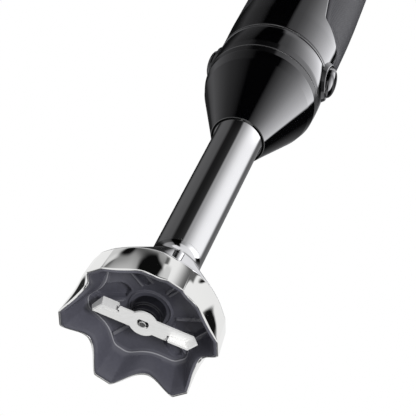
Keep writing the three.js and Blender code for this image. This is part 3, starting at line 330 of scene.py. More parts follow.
def node(tree, kind, *placed, **named):
    """A shader node. Sockets go by place or by a name with a capital, and settings by a small name."""
    made = tree.nodes.new("ShaderNode" + kind)
    sockets = dict(enumerate(placed))
    for key, value in named.items():
        if key[0].isupper():
            sockets[key.replace("_", " ")] = value
        else:
            setattr(made, key, value)
    for key, value in sockets.items():
        join(tree, value, made.inputs[key])
    return made


# The noise keeps to this middle part of its range, and colour and gloss vary over it.
NOISE_LOW = 0.3
NOISE_HIGH = 0.7
BUMP_STRENGTH = 0.5
finishes = {}


def finish(
    name, colour, roughness, low, high, gloss, scale, metallic=0.0, stretch=(1, 1, 1), bump=0.0, detail=4.0,
    **more,
):
    """A material with fine uneven colour, gloss and relief in the object's own coordinates."""
    material = new_material(name, colour, roughness, metallic, **more)
    tree = material.node_tree
    shader = tree.nodes["Principled BSDF"]
    place = node(tree, "TexCoord").outputs["Object"]
    stretched = node(tree, "Mapping", Vector=place, Scale=stretch).outputs["Vector"]
    noise = node(tree, "TexNoise", Vector=stretched, Scale=scale, Detail=detail).outputs["Fac"]
    ramp = node(tree, "ValToRGB", noise)
    first, last = ramp.color_ramp.elements
    first.position, last.position = NOISE_LOW, NOISE_HIGH
    first.color, last.color = (*low, 1), (*high, 1)
    join(tree, ramp.outputs["Color"], shader.inputs["Base Color"])
    spread = node(
        tree, "MapRange", Value=noise, From_Min=NOISE_LOW, From_Max=NOISE_HIGH, To_Min=gloss[0], To_Max=gloss[1]
    )
    join(tree, spread.outputs["Result"], shader.inputs["Roughness"])
    if bump:
        relief = node(tree, "Bump", Strength=BUMP_STRENGTH, Distance=bump, Height=noise)
        join(tree, relief.outputs["Normal"], shader.inputs["Normal"])
    finishes[name] = material


def paint_highlight(material, colour):
    """A painted highlight: a paler colour where the mesh's attribute marks edges and ribs that would catch the
    light.
    """
    tree = material.node_tree
    base = tree.nodes["Principled BSDF"].inputs["Base Color"]
    own = base.links[0].from_socket
    highlight_share = node(tree, "Attribute", attribute_name="painted_highlight").outputs["Fac"]
    mix = node(tree, "Mix", highlight_share, data_type="RGBA")
    join(tree, own, mix.inputs[6])
    join(tree, (*colour, 1), mix.inputs[7])
    join(tree, mix.outputs[2], base)


# Each has its colour and roughness, the ends of both spans and the scale of the noise between them.
finish(
    "polished_steel", (0.9, 0.9, 0.89), 0.035, (0.88, 0.88, 0.875), (0.915, 0.915, 0.905), (0.03, 0.05), 60, 1.0
)
finish(
    "blade_steel", (0.88, 0.88, 0.87), 0.34, (0.85, 0.85, 0.84), (0.91, 0.91, 0.90), (0.3, 0.38), 300, 0.25,
    (1, 8, 1), 0.000004,
)
finish(
    "plain_steel", (0.7, 0.7, 0.7), 0.22, (0.66, 0.66, 0.66), (0.74, 0.74, 0.74), (0.18, 0.28), 200, 1.0,
    (1, 1, 6), 0.00001,
)
finish(
    "gloss_black", (0.0006, 0.0006, 0.0009), 0.04, (0.0005, 0.0005, 0.0007), (0.0008, 0.0008, 0.0011),
    (0.035, 0.06), 40, Specular_IOR_Level=0.9, Coat_Weight=1.0, Coat_Roughness=0.02,
)
finish(
    "grip_charcoal", (0.03, 0.03, 0.034), 0.5, (0.027, 0.027, 0.031), (0.037, 0.037, 0.042), (0.46, 0.58), 900,
    bump=0.00004,
)
finish(
    "liner_grey", (0.064, 0.064, 0.080), 0.34, (0.061, 0.061, 0.076), (0.067, 0.067, 0.084), (0.31, 0.37), 700,
    bump=0.000006, detail=2.0,
)
# Painted highlights on the liner: a paler grey on the ledge edge and the rib crests that its mesh marks.
paint_highlight(finishes["liner_grey"], (0.30, 0.30, 0.32))
finish(
    "seal_black", (0.008, 0.008, 0.010), 0.36, (0.006, 0.006, 0.008), (0.010, 0.010, 0.013), (0.3, 0.42), 500,
    bump=0.00001, Specular_IOR_Level=0.3,
)
finish(
    "dark_plastic", (0.02, 0.02, 0.022), 0.38, (0.017, 0.017, 0.019), (0.025, 0.025, 0.028), (0.32, 0.46), 700,
    bump=0.00002,
)

# The finishes that only CAD nodes have.
finish(
    "laminated_steel", (0.36, 0.38, 0.39), 0.4, (0.26, 0.27, 0.28), (0.42, 0.44, 0.45), (0.34, 0.5), 90, 0.9,
    (0.2, 0.2, 22), 0.00008,
)
finish(
    "inner_plastic", (0.48, 0.49, 0.47), 0.5, (0.45, 0.46, 0.44), (0.51, 0.52, 0.5), (0.44, 0.58), 600,
    bump=0.00002,
)
finish(
    "bronze", (0.42, 0.24, 0.1), 0.42, (0.34, 0.19, 0.08), (0.48, 0.28, 0.12), (0.36, 0.52), 900, 1.0,
    bump=0.00003,
)
finish(
    "copper", (0.5, 0.17, 0.06), 0.3, (0.4, 0.12, 0.04), (0.58, 0.21, 0.08), (0.24, 0.4), 110, 1.0,
    (0.3, 0.3, 14), 0.00012,
)
finish(
    "carbon", (0.03, 0.03, 0.03), 0.55, (0.024, 0.024, 0.024), (0.038, 0.038, 0.038), (0.5, 0.66), 1200,
    bump=0.00002,
)
finish(
    "board_green", (0.02, 0.13, 0.05), 0.3, (0.012, 0.1, 0.036), (0.03, 0.17, 0.07), (0.24, 0.36), 260, 0.0,
    (1, 1, 0.3), 0.00001,
)
finish(
    "capacitor_yellow", (0.58, 0.36, 0.03), 0.3, (0.54, 0.33, 0.025), (0.62, 0.39, 0.035), (0.25, 0.36), 300,
    bump=0.00001,
)

# -------- the bell's form

BELL_DRAFT = math.tan(math.radians(BELL_DRAFT_ANGLE))
FLANK = math.tan(math.radians(FLANK_ANGLE))
shoulder_radius = FOOT_RADIUS - BELL_DRAFT * SHOULDER_HEIGHT
neck_meet = SHOULDER_HEIGHT + (shoulder_radius - TUBE_RADIUS) / FLANK
neck_top = neck_meet + NECK_FILLET * math.tan(math.radians(FLANK_ANGLE) / 2)

# Above its wall the bell is round: a cone that runs into the tube through a wide hollow neck.
dome_corners = [
    (DOME_BASE, 0), (*DOME_BEND, 80), (TUBE_RADIUS, neck_meet, NECK_FILLET), (TUBE_RADIUS, neck_top + 5)
]
dome_profile = radius_at(rounded(dome_corners, 40))
corner_angle = math.atan(FOOT_WIDTH / 2 / FOOT_RADIUS)
foot_pitch = 2 * math.pi / FEET


def from_foot(angle):
    """How far this angle is from the middle of the nearest foot."""
    turns = np.asarray(angle) / foot_pitch
    return np.abs(turns - np.round(turns)) * foot_pitch


def along_side(angle):
    """0 at the edge of a foot, 1 in the middle of the side between two feet."""
    return np.clip((from_foot(angle) - corner_angle) / (foot_pitch / 2 - corner_angle), 0, 1)


def side_factor(angle, height):
    """The bell's radius at this angle as a share of its radius at a foot."""
    a = from_foot(angle)
    flat_foot = 1 / np.cos(a)
    chord = math.cos(foot_pitch / 2 - corner_angle) / math.cos(corner_angle) / np.cos(foot_pitch / 2 - a)
    hollow_share = 1 - height / HOLLOW_FADE
    hollow_share = 0.5 * (hollow_share + np.sqrt(hollow_share**2 + 0.004))
    hollow = SIDE_HOLLOW / FOOT_RADIUS * np.sin(along_side(angle) * math.pi / 2) ** 1.5
    return np.where(a <= corner_angle, flat_foot, chord) - hollow * hollow_share


def rim_height(angle):
    return ARCH_HEIGHT * np.sin(along_side(angle) * math.pi / 2) ** 1.3


def above_rim(angle, height):
    """The height, squeezed to lie between the arched rim and the shoulder."""
    squeezed = rim_height(angle) * (1 - height / SHOULDER_HEIGHT) + height
    return np.where(height >= SHOULDER_HEIGHT, height, squeezed)


def bell_radius(angle, height):
    """The faceted wall up to where it meets the round dome, with a slightly softened crease between them."""
    toward_side = smooth(along_side(angle) * 1.6)
    draft = BELL_DRAFT * (1 - toward_side) + SIDE_DRAFT * toward_side
    wall = (FOOT_RADIUS - draft * height) * side_factor(angle, height)
    dome = dome_profile(height)
    return 0.5 * (wall + dome - np.sqrt((wall - dome) ** 2 + CREASE_SOFTNESS**2))


EDGE = math.radians(0.4)
foot_columns = [-1, -0.9, -0.6, -0.3, 0, 0.3, 0.6, 0.9, 1]
foot_side = np.array(foot_columns) * (corner_angle - EDGE)
wide_side = foot_pitch / 2 - (foot_pitch / 2 - corner_angle - EDGE) * np.cos(np.linspace(0, math.pi, 57))
bell_angles = np.concatenate([np.concatenate([foot_side, wide_side]) + f * foot_pitch for f in range(FEET)])

wall_heights = np.concatenate([[0.18, 0.5], np.linspace(1.2, 9.5, 11), np.linspace(9.75, SHOULDER_HEIGHT, 22)])
dome_heights = [np.linspace(SHOULDER_HEIGHT, 18, 16)[1:], np.linspace(18, neck_top + GAP * 0.8, 60)[1:]]
bell_heights = np.concatenate([wall_heights, *dome_heights])


def bell_section(angle):
    z = above_rim(angle, bell_heights)
    outer = bell_radius(angle, z)
    low = float(rim_height(angle))
    edge_outer = float(bell_radius(angle, low))
    rim = [
        (edge_outer - BELL_WALL + 0.04, low + 0.05), (edge_outer - BELL_WALL + 0.14, low),
        (edge_outer - BELL_WALL / 2, low), (edge_outer - 0.14, low), (edge_outer - 0.04, low + 0.05),
    ]
    return np.concatenate([rim, np.column_stack([outer, z]), np.column_stack([outer - BELL_WALL, z])[::-1]])


ring_of("bell", bell_section, bell_angles, "polished_steel", "attachment", "bell_shell", sharp=50)

# -------- bell liner

BAR_EDGE = 0.5


def bar(x, y, centre, turn, half_length, half_width):
    """1 inside a round-ended bar, 0 outside."""
    c, s = math.cos(math.radians(turn)), math.sin(math.radians(turn))
    along = (x - centre[0]) * c + (y - centre[1]) * s
    across = (y - centre[1]) * c - (x - centre[0]) * s
    beyond = np.maximum(np.abs(along) - (half_length - half_width), 0)
    return smooth((half_width - np.hypot(beyond, across) + BAR_EDGE / 2) / BAR_EDGE)


# What is let into the liner's roof (above 0) or stands out of it (below 0): by what share of RELIEF_DEPTH,
# where, turned how far, and half its length and width.
POCKETS = [
    (0.9, (16.3, 6.6), -13, 8.6, 3.9), (0.5, (16.3, 6.6), -13, 7.2, 2.5), (-0.45, (17, 0.9), -14, 8.5, 0.55),
]
ROOF_BARS = POCKETS + [(share, (-x, -y), *more) for share, (x, y), *more in POCKETS]
ROOF_BARS += [
    (0.7, (-4.2, -19.4), 58, 7.6, 1.9), (-0.5, (-6.3, -18.3), 58, 7.6, 0.5),
    (-0.3, (-2.1, -20.6), 58, 7.6, 0.4), (0.9, (9.1, 16.9), 58, 4.6, 2.7),
    (-0.4, (12.6, 14.9), 58, 4.6, 0.45),
]
for turn in (-53.2, -46.8):
    across, up = math.cos(math.radians(turn)), math.sin(math.radians(turn))
    ROOF_BARS.append((-0.5, (16.5 * across, 16.5 * up), turn, 4.2, 0.5))
ROOF_BARS.append((-0.45, (-12.4, 12.6), 142, 5.5, 0.9))
RELIEF_DEPTH = 1.9
RELIEF_START = 10.4


def roof_relief(radius, angle):
    """How far the liner's roof is let in (up) or stands out (down), in millimetres."""
    x = radius * np.cos(angle)
    y = radius * np.sin(angle)
    relief = sum(share * bar(x, y, *place) for share, *place in ROOF_BARS)
    return RELIEF_DEPTH * relief * smooth((radius - RELIEF_START) / 1.2)


liner_side = np.linspace(corner_angle + EDGE, foot_pitch - corner_angle - EDGE, 73)
liner_angles = np.concatenate([np.concatenate([foot_side, liner_side]) + f * foot_pitch for f in range(FEET)])
ROOF_ROWS = np.linspace(0, 1, 44)
HUB_RING = 9.6


def liner_section(angle):
    rim = float(rim_height(angle))
    rim_outer = float(bell_radius(angle, rim)) - BELL_WALL - LINER_CLEARANCE
    rim_inner = rim_outer - LINER_EDGE
    around_here = angle + np.radians(np.linspace(-3, 3, 7))
    roof = LINER_ROOF_RADIUS * float(np.mean(side_factor(around_here, rim)))
    low, high = rim, LINER_ROOF_HEIGHT
    skirt = [
        (rim_outer, low + 0.25), (rim_outer - 0.08, low + 0.06), (rim_outer - 0.3, low),
        (rim_inner + 0.35, low), (rim_inner + 0.1, low + 0.08), (rim_inner, low + 0.35),
    ]
    wall = [(rim_inner + (roof - rim_inner) * t, low + (high - low) * t) for t in np.linspace(0.1, 0.93, 9)]
    ledge = [
        (roof - 0.25, high - 0.32), (roof - 0.5, high - 0.13), (roof - 0.8, high - 0.05),
        (roof - 1.05, high + 0.08), (roof - 1.2, high + 0.35), (roof - 1.27, high + 0.8),
    ]
    start = roof - 1.9
    radii = start + (HUB_RING - start) * ROOF_ROWS
    base = high + 1.1 + (LINER_ROOF_RISE - 1.1) * (start - radii) / (start - HUB_RING)
    ceiling = list(zip(radii, base + roof_relief(radii, angle)))
    bottom = high + LINER_ROOF_RISE
    hub = [
        (9.35, bottom - 0.15), (9.15, bottom - 0.55), (8.85, bottom - 0.7), (8.55, bottom - 0.6),
        (8.4, bottom - 0.2), (HUB_BORE + HUB_WALL - 0.8, bottom), (HUB_BORE, bottom), (HUB_BORE, HUB_TOP),
        (HUB_BORE + HUB_WALL, HUB_TOP), (HUB_BORE + HUB_WALL, bottom + LINER_WALL + 3),
        (HUB_BORE + HUB_WALL + 1.5, bottom + LINER_WALL + 1.4),
    ]
    back = [(roof + LINER_WALL - 1.5, high + LINER_WALL + 1.1), (roof + LINER_WALL, high + LINER_WALL - 0.6)]
    outer = [(rim_outer + (roof + LINER_WALL - rim_outer) * t, low + (high - low) * t) for t in (0.8, 0.5, 0.2)]
    return np.array(skirt + wall + ledge + ceiling + hub + back + outer)


# Painted highlights on the liner: a thin pale line along the ledge where skirt meets roof, standing in for the
# light that edge catches.
LEDGE_POINT = 15
RIB_CREST = 0.9
LEDGE_HIGHLIGHT = {LEDGE_POINT + 2: 0.2, LEDGE_POINT + 3: 1.0, LEDGE_POINT + 4: 0.2}

liner = ring_of("liner", liner_section, liner_angles, "liner_grey", "attachment", "bell_liner", sharp=35)
section_points = len(liner_section(0.0))
painted_highlight = np.zeros((len(liner_angles), section_points), dtype=np.float32)
for point, share in LEDGE_HIGHLIGHT.items():
    painted_highlight[:, point] = share
places = np.empty(len(liner.data.vertices) * 3)
liner.data.vertices.foreach_get("co", places)
# The ribs standing out of the roof get a painted highlight too, paler the further they stand out.
ceiling = slice(LEDGE_POINT + 6, LEDGE_POINT + 6 + len(ROOF_ROWS))
x, y = np.moveaxis(places.reshape(len(liner_angles), section_points, 3)[:, ceiling, :2] * 1000, -1, 0)
painted_highlight[:, ceiling] = 0.3 * np.clip(-roof_relief(np.hypot(x, y), np.arctan2(y, x)) / RIB_CREST, 0, 1) ** 2
liner.data.attributes.new("painted_highlight", "FLOAT", "POINT").data.foreach_set("value", painted_highlight.ravel())

# -------- blade, seal and shaft end


def hexahedron(corners):
    """A block from its four lower corners and four upper corners, both in the same order."""
    faces = [(3, 2, 1, 0), (4, 5, 6, 7), (0, 1, 5, 4), (1, 2, 6, 5), (2, 3, 7, 6), (3, 0, 4, 7)]
    return solid("cutter", corners, faces)


def half_turned(points):
    return [(-x, -y, *rest) for x, y, *rest in points]


def blade_wing(rise_by, tip_rise, splay, turned):
    """Two blocks of a bent wing: its long folded edge and its slanting tip, up or down and leaning out."""
    front = -BLADE_ARM_WIDTH / 2
    fold = -front - BLADE_FOLD_INSET
    back = fold + BLADE_THICKNESS
    base = BLADE_BOTTOM + BLADE_THICKNESS / 2
    inner_end, outer_end = BLADE_WING_START, BLADE_WING_END + BLADE_THICKNESS * 0.7
    edge = [(inner_end, fold, base), (outer_end, fold, base), (outer_end, back, base), (inner_end, back, base)]
    edge += [(x + (splay if x == outer_end else 0), y, z + rise_by) for x, y, z in edge]
    lower = [(BLADE_WING_END, back, base), (BLADE_TIP_END, front, base)]
    upper = [(BLADE_WING_END + splay, back, base + rise_by), (BLADE_TIP_END + splay, front, base + tip_rise)]
    shift = BLADE_THICKNESS * 0.8
    tip = [lower[0], lower[1], (lower[1][0] + shift, *lower[1][1:]), (lower[0][0] + shift, *lower[0][1:])]
    tip += [upper[0], upper[1], (upper[1][0] + shift, *upper[1][1:]), (upper[0][0] + shift, *upper[0][1:])]
    parts = [edge, tip]
    if turned:
        parts = [half_turned(part) for part in parts]
    return [hexahedron(part) for part in parts]


def circle(radius, centre=(0, 0), count=64):
    return [(centre[0] + radius * math.cos(a), centre[1] + radius * math.sin(a)) for a in full_turn(count)]


def bevelled(obj, width, segments=3, angle=28):
    bevel = obj.modifiers.new("bevel", "BEVEL")
    bevel.width = width * MM
    bevel.segments = segments
    bevel.limit_method = "ANGLE"
    bevel.angle_limit = math.radians(angle)
    bevel.miter_outer = "MITER_ARC"
    bevel.use_clamp_overlap = True
    bevel.harden_normals = True


def make_blade():
    half = BLADE_ARM_WIDTH / 2
    fold = half - BLADE_FOLD_INSET
    arm = [
        (0, -half), (BLADE_TIP_END + BLADE_THICKNESS / 2, -half),
        (BLADE_WING_END + BLADE_THICKNESS / 2, fold + BLADE_THICKNESS),
        (BLADE_WING_START, fold + BLADE_THICKNESS), (BLADE_WING_START - BLADE_NOTCH, half),
    ]
    outline = arm + half_turned(arm)
    top = BLADE_BOTTOM + BLADE_THICKNESS
    piece = prism(outline, BLADE_BOTTOM, top)
    hub = prism(circle(BLADE_HUB_RADIUS, count=96), BLADE_BOTTOM, top)
    wings = blade_wing(rise_by=4.3, tip_rise=2.4, splay=0.9, turned=True)
    wings += blade_wing(rise_by=-3.1, tip_rise=-3.1, splay=2.4, turned=False)
    carve(piece, hub, *wings, operation="UNION")
    # The bore has two flats, as the end of the shaft has.
    hole = [p for p in circle(SHAFT_END_RADIUS + GAP, count=96) if abs(p[1]) <= SHAFT_END_FLATS / 2 + GAP]
    notch_at = (BLADE_WING_START - BLADE_NOTCH / 2, fold + BLADE_THICKNESS)
    notches = [prism(circle(BLADE_NOTCH, at, 24), 0, 20) for at in (notch_at, (-notch_at[0], -notch_at[1]))]
    crease = [
        (BLADE_WING_START, fold - 0.25), (BLADE_WING_END - 0.5, fold - 0.25),
        (BLADE_TIP_END - 0.5, -half + 0.3), (BLADE_TIP_END - 0.25, -half + 0.3),
        (BLADE_WING_END - 0.25, fold), (BLADE_WING_START, fold),
    ]
    depth = BLADE_BOTTOM + 0.2
    carve(piece, prism(hole, 0, 20), *notches, prism(crease, 0, depth), prism(half_turned(crease), 0, depth))
    piece.data.transform(Matrix.Rotation(math.radians(BLADE_ANGLE), 4, "Z"))
    adopt(piece, "cutting_blade", "blade_steel", "spindle", "blade", sharp=30)
    bevelled(piece, 0.16)


make_blade()

SEAL_STEP = SEAL_BOTTOM + SEAL_NOSE_HEIGHT
seal_top = LINER_ROOF_HEIGHT + LINER_ROOF_RISE - GAP
seal_corners = [
    (SHAFT_RADIUS + 2 * GAP, SEAL_BOTTOM + 1.2, 0.1), (SHAFT_RADIUS + 1.4, SEAL_BOTTOM, 0.3),
    (SEAL_NOSE_RADIUS, SEAL_BOTTOM, 0.7), (SEAL_NOSE_RADIUS, SEAL_STEP - 0.7, 0.4),
    (SEAL_NOSE_RADIUS - 0.35, SEAL_STEP - 0.35, 0.2), (SEAL_NOSE_RADIUS + 0.1, SEAL_STEP, 0.2),
    (SEAL_STEP_RADIUS, SEAL_STEP, 0.5), (SEAL_STEP_RADIUS, seal_top, 0.1), (HUB_BORE - GAP, seal_top, 0.1),
    (HUB_BORE - GAP, seal_top + SEAL_PLUG_HEIGHT, 0.2),
    (SHAFT_RADIUS + 2 * GAP, seal_top + SEAL_PLUG_HEIGHT, 0.1),
]
lathe("seal", seal_corners, 6, 1, 96, "seal_black", "attachment", "shaft_seal")


def make_shaft():
    shoulder = BLADE_BOTTOM + BLADE_THICKNESS + GAP
    corners = [
        (0, BLADE_BOTTOM - 0.5), (SHAFT_TIP_RADIUS, BLADE_BOTTOM - 0.5, 0.3),
        (SHAFT_TIP_RADIUS, shoulder + 1.4, 0.2), (SHAFT_RADIUS, shoulder + 1.4, 0.3),
        (SHAFT_RADIUS, SHAFT_TOP, 0.4), (0, SHAFT_TOP),
    ]
    lathe("shaft", corners, 5, 4, 48, "plain_steel", "spindle", "drive_shaft")


make_shaft()


# -------- tube

TUBE_WALL = 0.7
tube_bottom = neck_top + GAP
tube_corners = [
    (TUBE_RADIUS - TUBE_WALL, tube_bottom), (TUBE_RADIUS, tube_bottom), (TUBE_RADIUS, TUBE_TOP),
    (TUBE_RADIUS - TUBE_WALL, TUBE_TOP),
]
lathe("tube", tube_corners, 1, 6, 160, "polished_steel", "attachment", "shaft_tube")

# -------- handle's form

handle_corners = [
    (COLLAR_RADIUS - 0.4, HANDLE_BOTTOM), (COLLAR_RADIUS, HANDLE_BOTTOM + 16, 120),
    (COLLAR_RADIUS, HANDLE_BOTTOM + 47.3, 700), (23.4, HANDLE_BOTTOM + 47.3 + 82, 400), (25, CAP_TOP),
]
handle_radius = radius_at(rounded(handle_corners, 24))
seam_side = HANDLE_BOTTOM + 16.3
seam_flare = seam_side + 7.5
seam_neck = seam_flare + 19.5
# The seams run at these angles from the front, in degrees: wide at the collar and narrow above the flare.
seam_corners = [
    (84, HANDLE_BOTTOM), (82, seam_side, 3), (45, seam_flare, 4), (37, seam_neck, 30), (35, HANDLE_TOP)
]
seam_angle = radius_at(rounded(seam_corners, 14))

# -------- coupling cone

CONE_SLEEVE = 9.7
cone_corners = [
    (TUBE_RADIUS + 0.35, CONE_LIP + 1.2), (TUBE_RADIUS + 0.35, CONE_LIP, 0.3), (12.5, CONE_LIP, 0.35),
    (14.5, CONE_LIP + 5, 0.4), (24.8, CONE_CREASE, 4), (26.25, CONE_CREASE + 5, 3), (26.5, CONE_TOP, 0.3),
    (19.3, CONE_TOP, 0.3), (19, CONE_TOP + 14, 1), (17, CONE_TOP + 15, 0.4), (17, CONE_CREASE + 1),
    (TUBE_RADIUS + GAP, TUBE_TOP + GAP + 3.5), (CONE_SLEEVE - 1.6, TUBE_TOP + GAP + 3.5),
    (CONE_SLEEVE - 1.6, TUBE_TOP + GAP), (TUBE_RADIUS + GAP, TUBE_TOP + GAP),
]
lathe("cone", cone_corners, 10, 1.2, 192, "gloss_black", "attachment", "coupling_cone")

# -------- collar, bezels and release buttons

COLLAR_EDGE = 26.5
COLLAR_INSIDE = 24.6
COLLAR_BORE = 14
COLLAR_FLOOR = COLLAR_TOP - 3.2
collar_bottom = CONE_TOP + GAP
collar_corners = [
    (COLLAR_INSIDE, collar_bottom, 0.2), (COLLAR_EDGE, collar_bottom, 0.3),
    (COLLAR_RADIUS, (collar_bottom + COLLAR_TOP) / 2, 100), (COLLAR_EDGE - 0.4, COLLAR_TOP - 1.5),
    (COLLAR_EDGE, COLLAR_TOP - 1.2, 0.25), (COLLAR_EDGE, COLLAR_TOP - 0.2, 0.4), (25.6, COLLAR_TOP, 0.2),
    (COLLAR_BORE, COLLAR_TOP, 0.3), (COLLAR_BORE, COLLAR_FLOOR, 0.3), (COLLAR_INSIDE, COLLAR_FLOOR, 0.5),
]
collar = lathe("collar", collar_corners, 10, 1.2, 192, "gloss_black", "motor_unit", "collar_ring")
RELEASE_HALF = (6.0, 8.6)
WINDOW_HALF = (6.4, 9.0)


def side_bars(half_width, half_height, start, end):
    """Oval bars through both sides of the collar and shells, for the release buttons."""
    return [oval_bar(half_width, half_height, *span, RELEASE_HEIGHT) for span in ((start, end), (-end, -start))]


carve(collar, *side_bars(WINDOW_HALF[0] + 0.6, WINDOW_HALF[1] + 0.6, 20, 32))
BEZEL_SEAT = 26.6


def release_bezel(name, side):
    """A raised oval rim round a release button, following the round of the collar."""
    corners = [(0, -3.0), (0, 1.45, 0.35), (1.1, 1.45, 0.6), (2.2, -0.2, 0.6), (2.2, -3.0)]
    section = dense(rounded(corners, 8), 0.6, 0.05)
    turns = full_turn(144)
    offset, height = section.T
    y = (WINDOW_HALF[0] + offset) * np.cos(turns)[:, None]
    z = RELEASE_HEIGHT + (WINDOW_HALF[1] + offset) * np.sin(turns)[:, None]
    x = np.sqrt((BEZEL_SEAT + height) ** 2 - y**2)
    faces = grid_faces(len(turns), len(section), wrap_rows=True, wrap_columns=True)
    add_piece(name, np.stack([side * x, side * y, z], axis=-1), faces, "gloss_black", "motor_unit")


release_bezel("bezel_right", 1)
release_bezel("bezel_left", -1)


def yoke_loop(radius, side):
    """A circle drawn out by 2 mm towards its button, so that the yoke can slide past the shaft."""
    near, far = (np.radians(np.linspace(start, start + 180, 33)) for start in (-90, 90))
    near = np.column_stack([2 + radius * np.cos(near), radius * np.sin(near)])
    far = np.column_stack([radius * np.cos(far), radius * np.sin(far)])
    return np.concatenate([near, far]) * side


def oval_button(profile, half_width, half_height, height):
    """Points and faces of a button along X, from its profile of (share of the oval, distance out)."""
    turns = full_turn(112)
    y = profile[:, :1] * half_width * np.cos(turns)
    z = height + profile[:, :1] * half_height * np.sin(turns)
    x = np.broadcast_to(profile[:, 1:], y.shape)
    return np.stack([x, y, z], axis=-1), grid_faces(len(profile), len(turns), wrap_columns=True)


RELEASE_BACK = 25.8
RELEASE_FRONT = 28.2
RELEASE_DOME = 2.4
YOKE_RADII = (21.4, 19.4)
YOKE_HALF_HEIGHT = 1.2
STEM_HALF_WIDTH = 3


def release_button(name, side, body, yoke_height):
    """A domed oval button whose stem joins it to a flat yoke inside the collar."""
    rings = np.concatenate([[0], np.linspace(0.12, 0.9, 12), [0.94, 0.97, 0.985, 0.995, 1.0]])
    face = RELEASE_FRONT + RELEASE_DOME * (1 - rings**2.6) ** 0.55
    wall = [(0.0, RELEASE_BACK), (0.97, RELEASE_BACK), (1.0, 26.1), (1.0, RELEASE_FRONT - 1)]
    points, faces = oval_button(np.array(wall + list(zip(rings, face))[::-1]), *RELEASE_HALF, RELEASE_HEIGHT)
    button = add_piece(name, points * (side, side, 1), faces, "gloss_black", body, f"release_{name}")
    low, high = yoke_height - YOKE_HALF_HEIGHT, yoke_height + YOKE_HALF_HEIGHT
    outside, inside = (yoke_loop(radius, side) for radius in YOKE_RADII)
    yoke = prism(outside, low, high)
    carve(yoke, prism(inside, low - 1, high + 1))
    stem = [(x, y * STEM_HALF_WIDTH) for x, y in ((21.2, -1), (26.6, -1), (26.6, 1), (21.2, 1))]
    stem = prism(np.array(stem) * side, low, high)
    carve(button, stem, yoke, operation="UNION")


release_button("button_right", 1, "release_right", 184.9)
release_button("button_left", -1, "release_left", 187.7)

# -------- handle shells


def shell_rows(step=None):
    """Heights of a shell's points: step apart, or else closest together where the seam flares."""
    low_edge = [HANDLE_BOTTOM, HANDLE_BOTTOM + 0.12, HANDLE_BOTTOM + 0.35]
    high_edge = [HANDLE_TOP - 0.35, HANDLE_TOP - 0.12, HANDLE_TOP]
    if step:
        return np.concatenate([low_edge, np.arange(HANDLE_BOTTOM + 0.6, HANDLE_TOP - 0.6, step), high_edge])
    fine = np.linspace(seam_side - 6, seam_flare + 10, 54)
    low = np.linspace(HANDLE_BOTTOM + 0.6, seam_side - 6, 18)[:-1]
    high = np.linspace(seam_flare + 10, HANDLE_TOP - 0.6, 110)[1:]
    return np.concatenate([low_edge, low, fine, high, high_edge])


def shell_piece(name, from_at, to_at, columns, slot, replaced, relief=None, step=None):
    """A shell of the handle between two seam angles in degrees, with softened edges and a thickness."""
    rows = shell_rows(step)
    edge = 0.3
    angles, insets = [], []
    for z in rows:
        a0, a1 = math.radians(from_at(z)), math.radians(to_at(z))
        turn = edge / handle_radius(z)
        inner = np.linspace(a0 + turn, a1 - turn, columns)
        angles.append(np.concatenate([[a0, a0 + turn * 0.3], inner, [a1 - turn * 0.3, a1]]))
        insets.append(np.concatenate([[edge, 0.09], np.zeros(columns), [0.09, edge]]))
    angles, insets = np.array(angles), np.array(insets)
    for row, drop in ((0, 0.35), (1, 0.1), (-1, 0.35), (-2, 0.1)):
        insets[row] = np.maximum(insets[row], drop)
    z = rows[:, None] + 0 * angles
    radius = handle_radius(z) - insets
    if relief is not None:
        radius = radius + relief(angles, z) * (insets == 0)
    sheets = [polar(radius, angles, z), polar(handle_radius(z) - HANDLE_WALL, angles, z)]
    places = np.arange(angles.size).reshape(angles.shape)
    border = [*places[0], *places[1:, -1], *places[-1, -2::-1], *places[-2:0:-1, 0]]
    faces = grid_faces(*angles.shape)
    back = [[angles.size + k for k in face[::-1]] for face in faces]
    rim = [[a, angles.size + a, angles.size + b, b] for a, b in zip(border, border[1:] + border[:1])]
    return add_piece(name, sheets, faces + back + rim, slot, "motor_unit", replaced)


def facing_front(along_x):
    """Turns what lies along X to the front of the handle."""
    along_x.data.transform(Matrix.Rotation(-math.pi / 2, 4, "Z"))
    return along_x


RIB_PITCH = 1.7
RIB_DEPTH = 0.24
RIB_SLANT = math.tan(math.radians(32))
GRIP_MIDDLE = 23.4


def ribs(angle, z):
    """Fine slanting ribs over the grip, which fade out towards its edges."""
    wave = 0.5 - 0.5 * np.cos(2 * math.pi * (z + RIB_SLANT * (GRIP_MIDDLE * angle)) / RIB_PITCH)
    from_seam = GRIP_MIDDLE * np.minimum(angle - angle[:, :1], angle[:, -1:] - angle)
    from_end = np.minimum(z - HANDLE_BOTTOM, HANDLE_TOP - z)
    return -RIB_DEPTH * wave * smooth((np.minimum(from_seam, from_end) - 1.2) / 1.2)


SEAM_GAP = math.degrees(0.42 / GRIP_MIDDLE)
THUMB_HALF = (7, 9.5)
THUMB_CLEARANCE = 0.35
THUMB_STEM = 2.5
BEZEL_CUT = (8.7, 11.3, 18, 34)
front = shell_piece(
    "front", lambda z: -90 - seam_angle(z), lambda z: -90 + seam_angle(z), 90, "gloss_black", "front_shell"
)
thumb_window = (THUMB_HALF[0] + THUMB_CLEARANCE, THUMB_HALF[1] + THUMB_CLEARANCE, 10, 34)
windows = [facing_front(oval_bar(*thumb_window, height)) for height in (POWER_HEIGHT, TURBO_HEIGHT)]
carve(front, *side_bars(*BEZEL_CUT), *windows)
grip = shell_piece(
    "grip", lambda z: -90 + seam_angle(z) + SEAM_GAP, lambda z: 270 - seam_angle(z) - SEAM_GAP, 170,
    "grip_charcoal", "grip_shell", ribs, 0.42,
)
carve(grip, *side_bars(*BEZEL_CUT))

# -------- top cap, speed dial, cord gland, thumb buttons

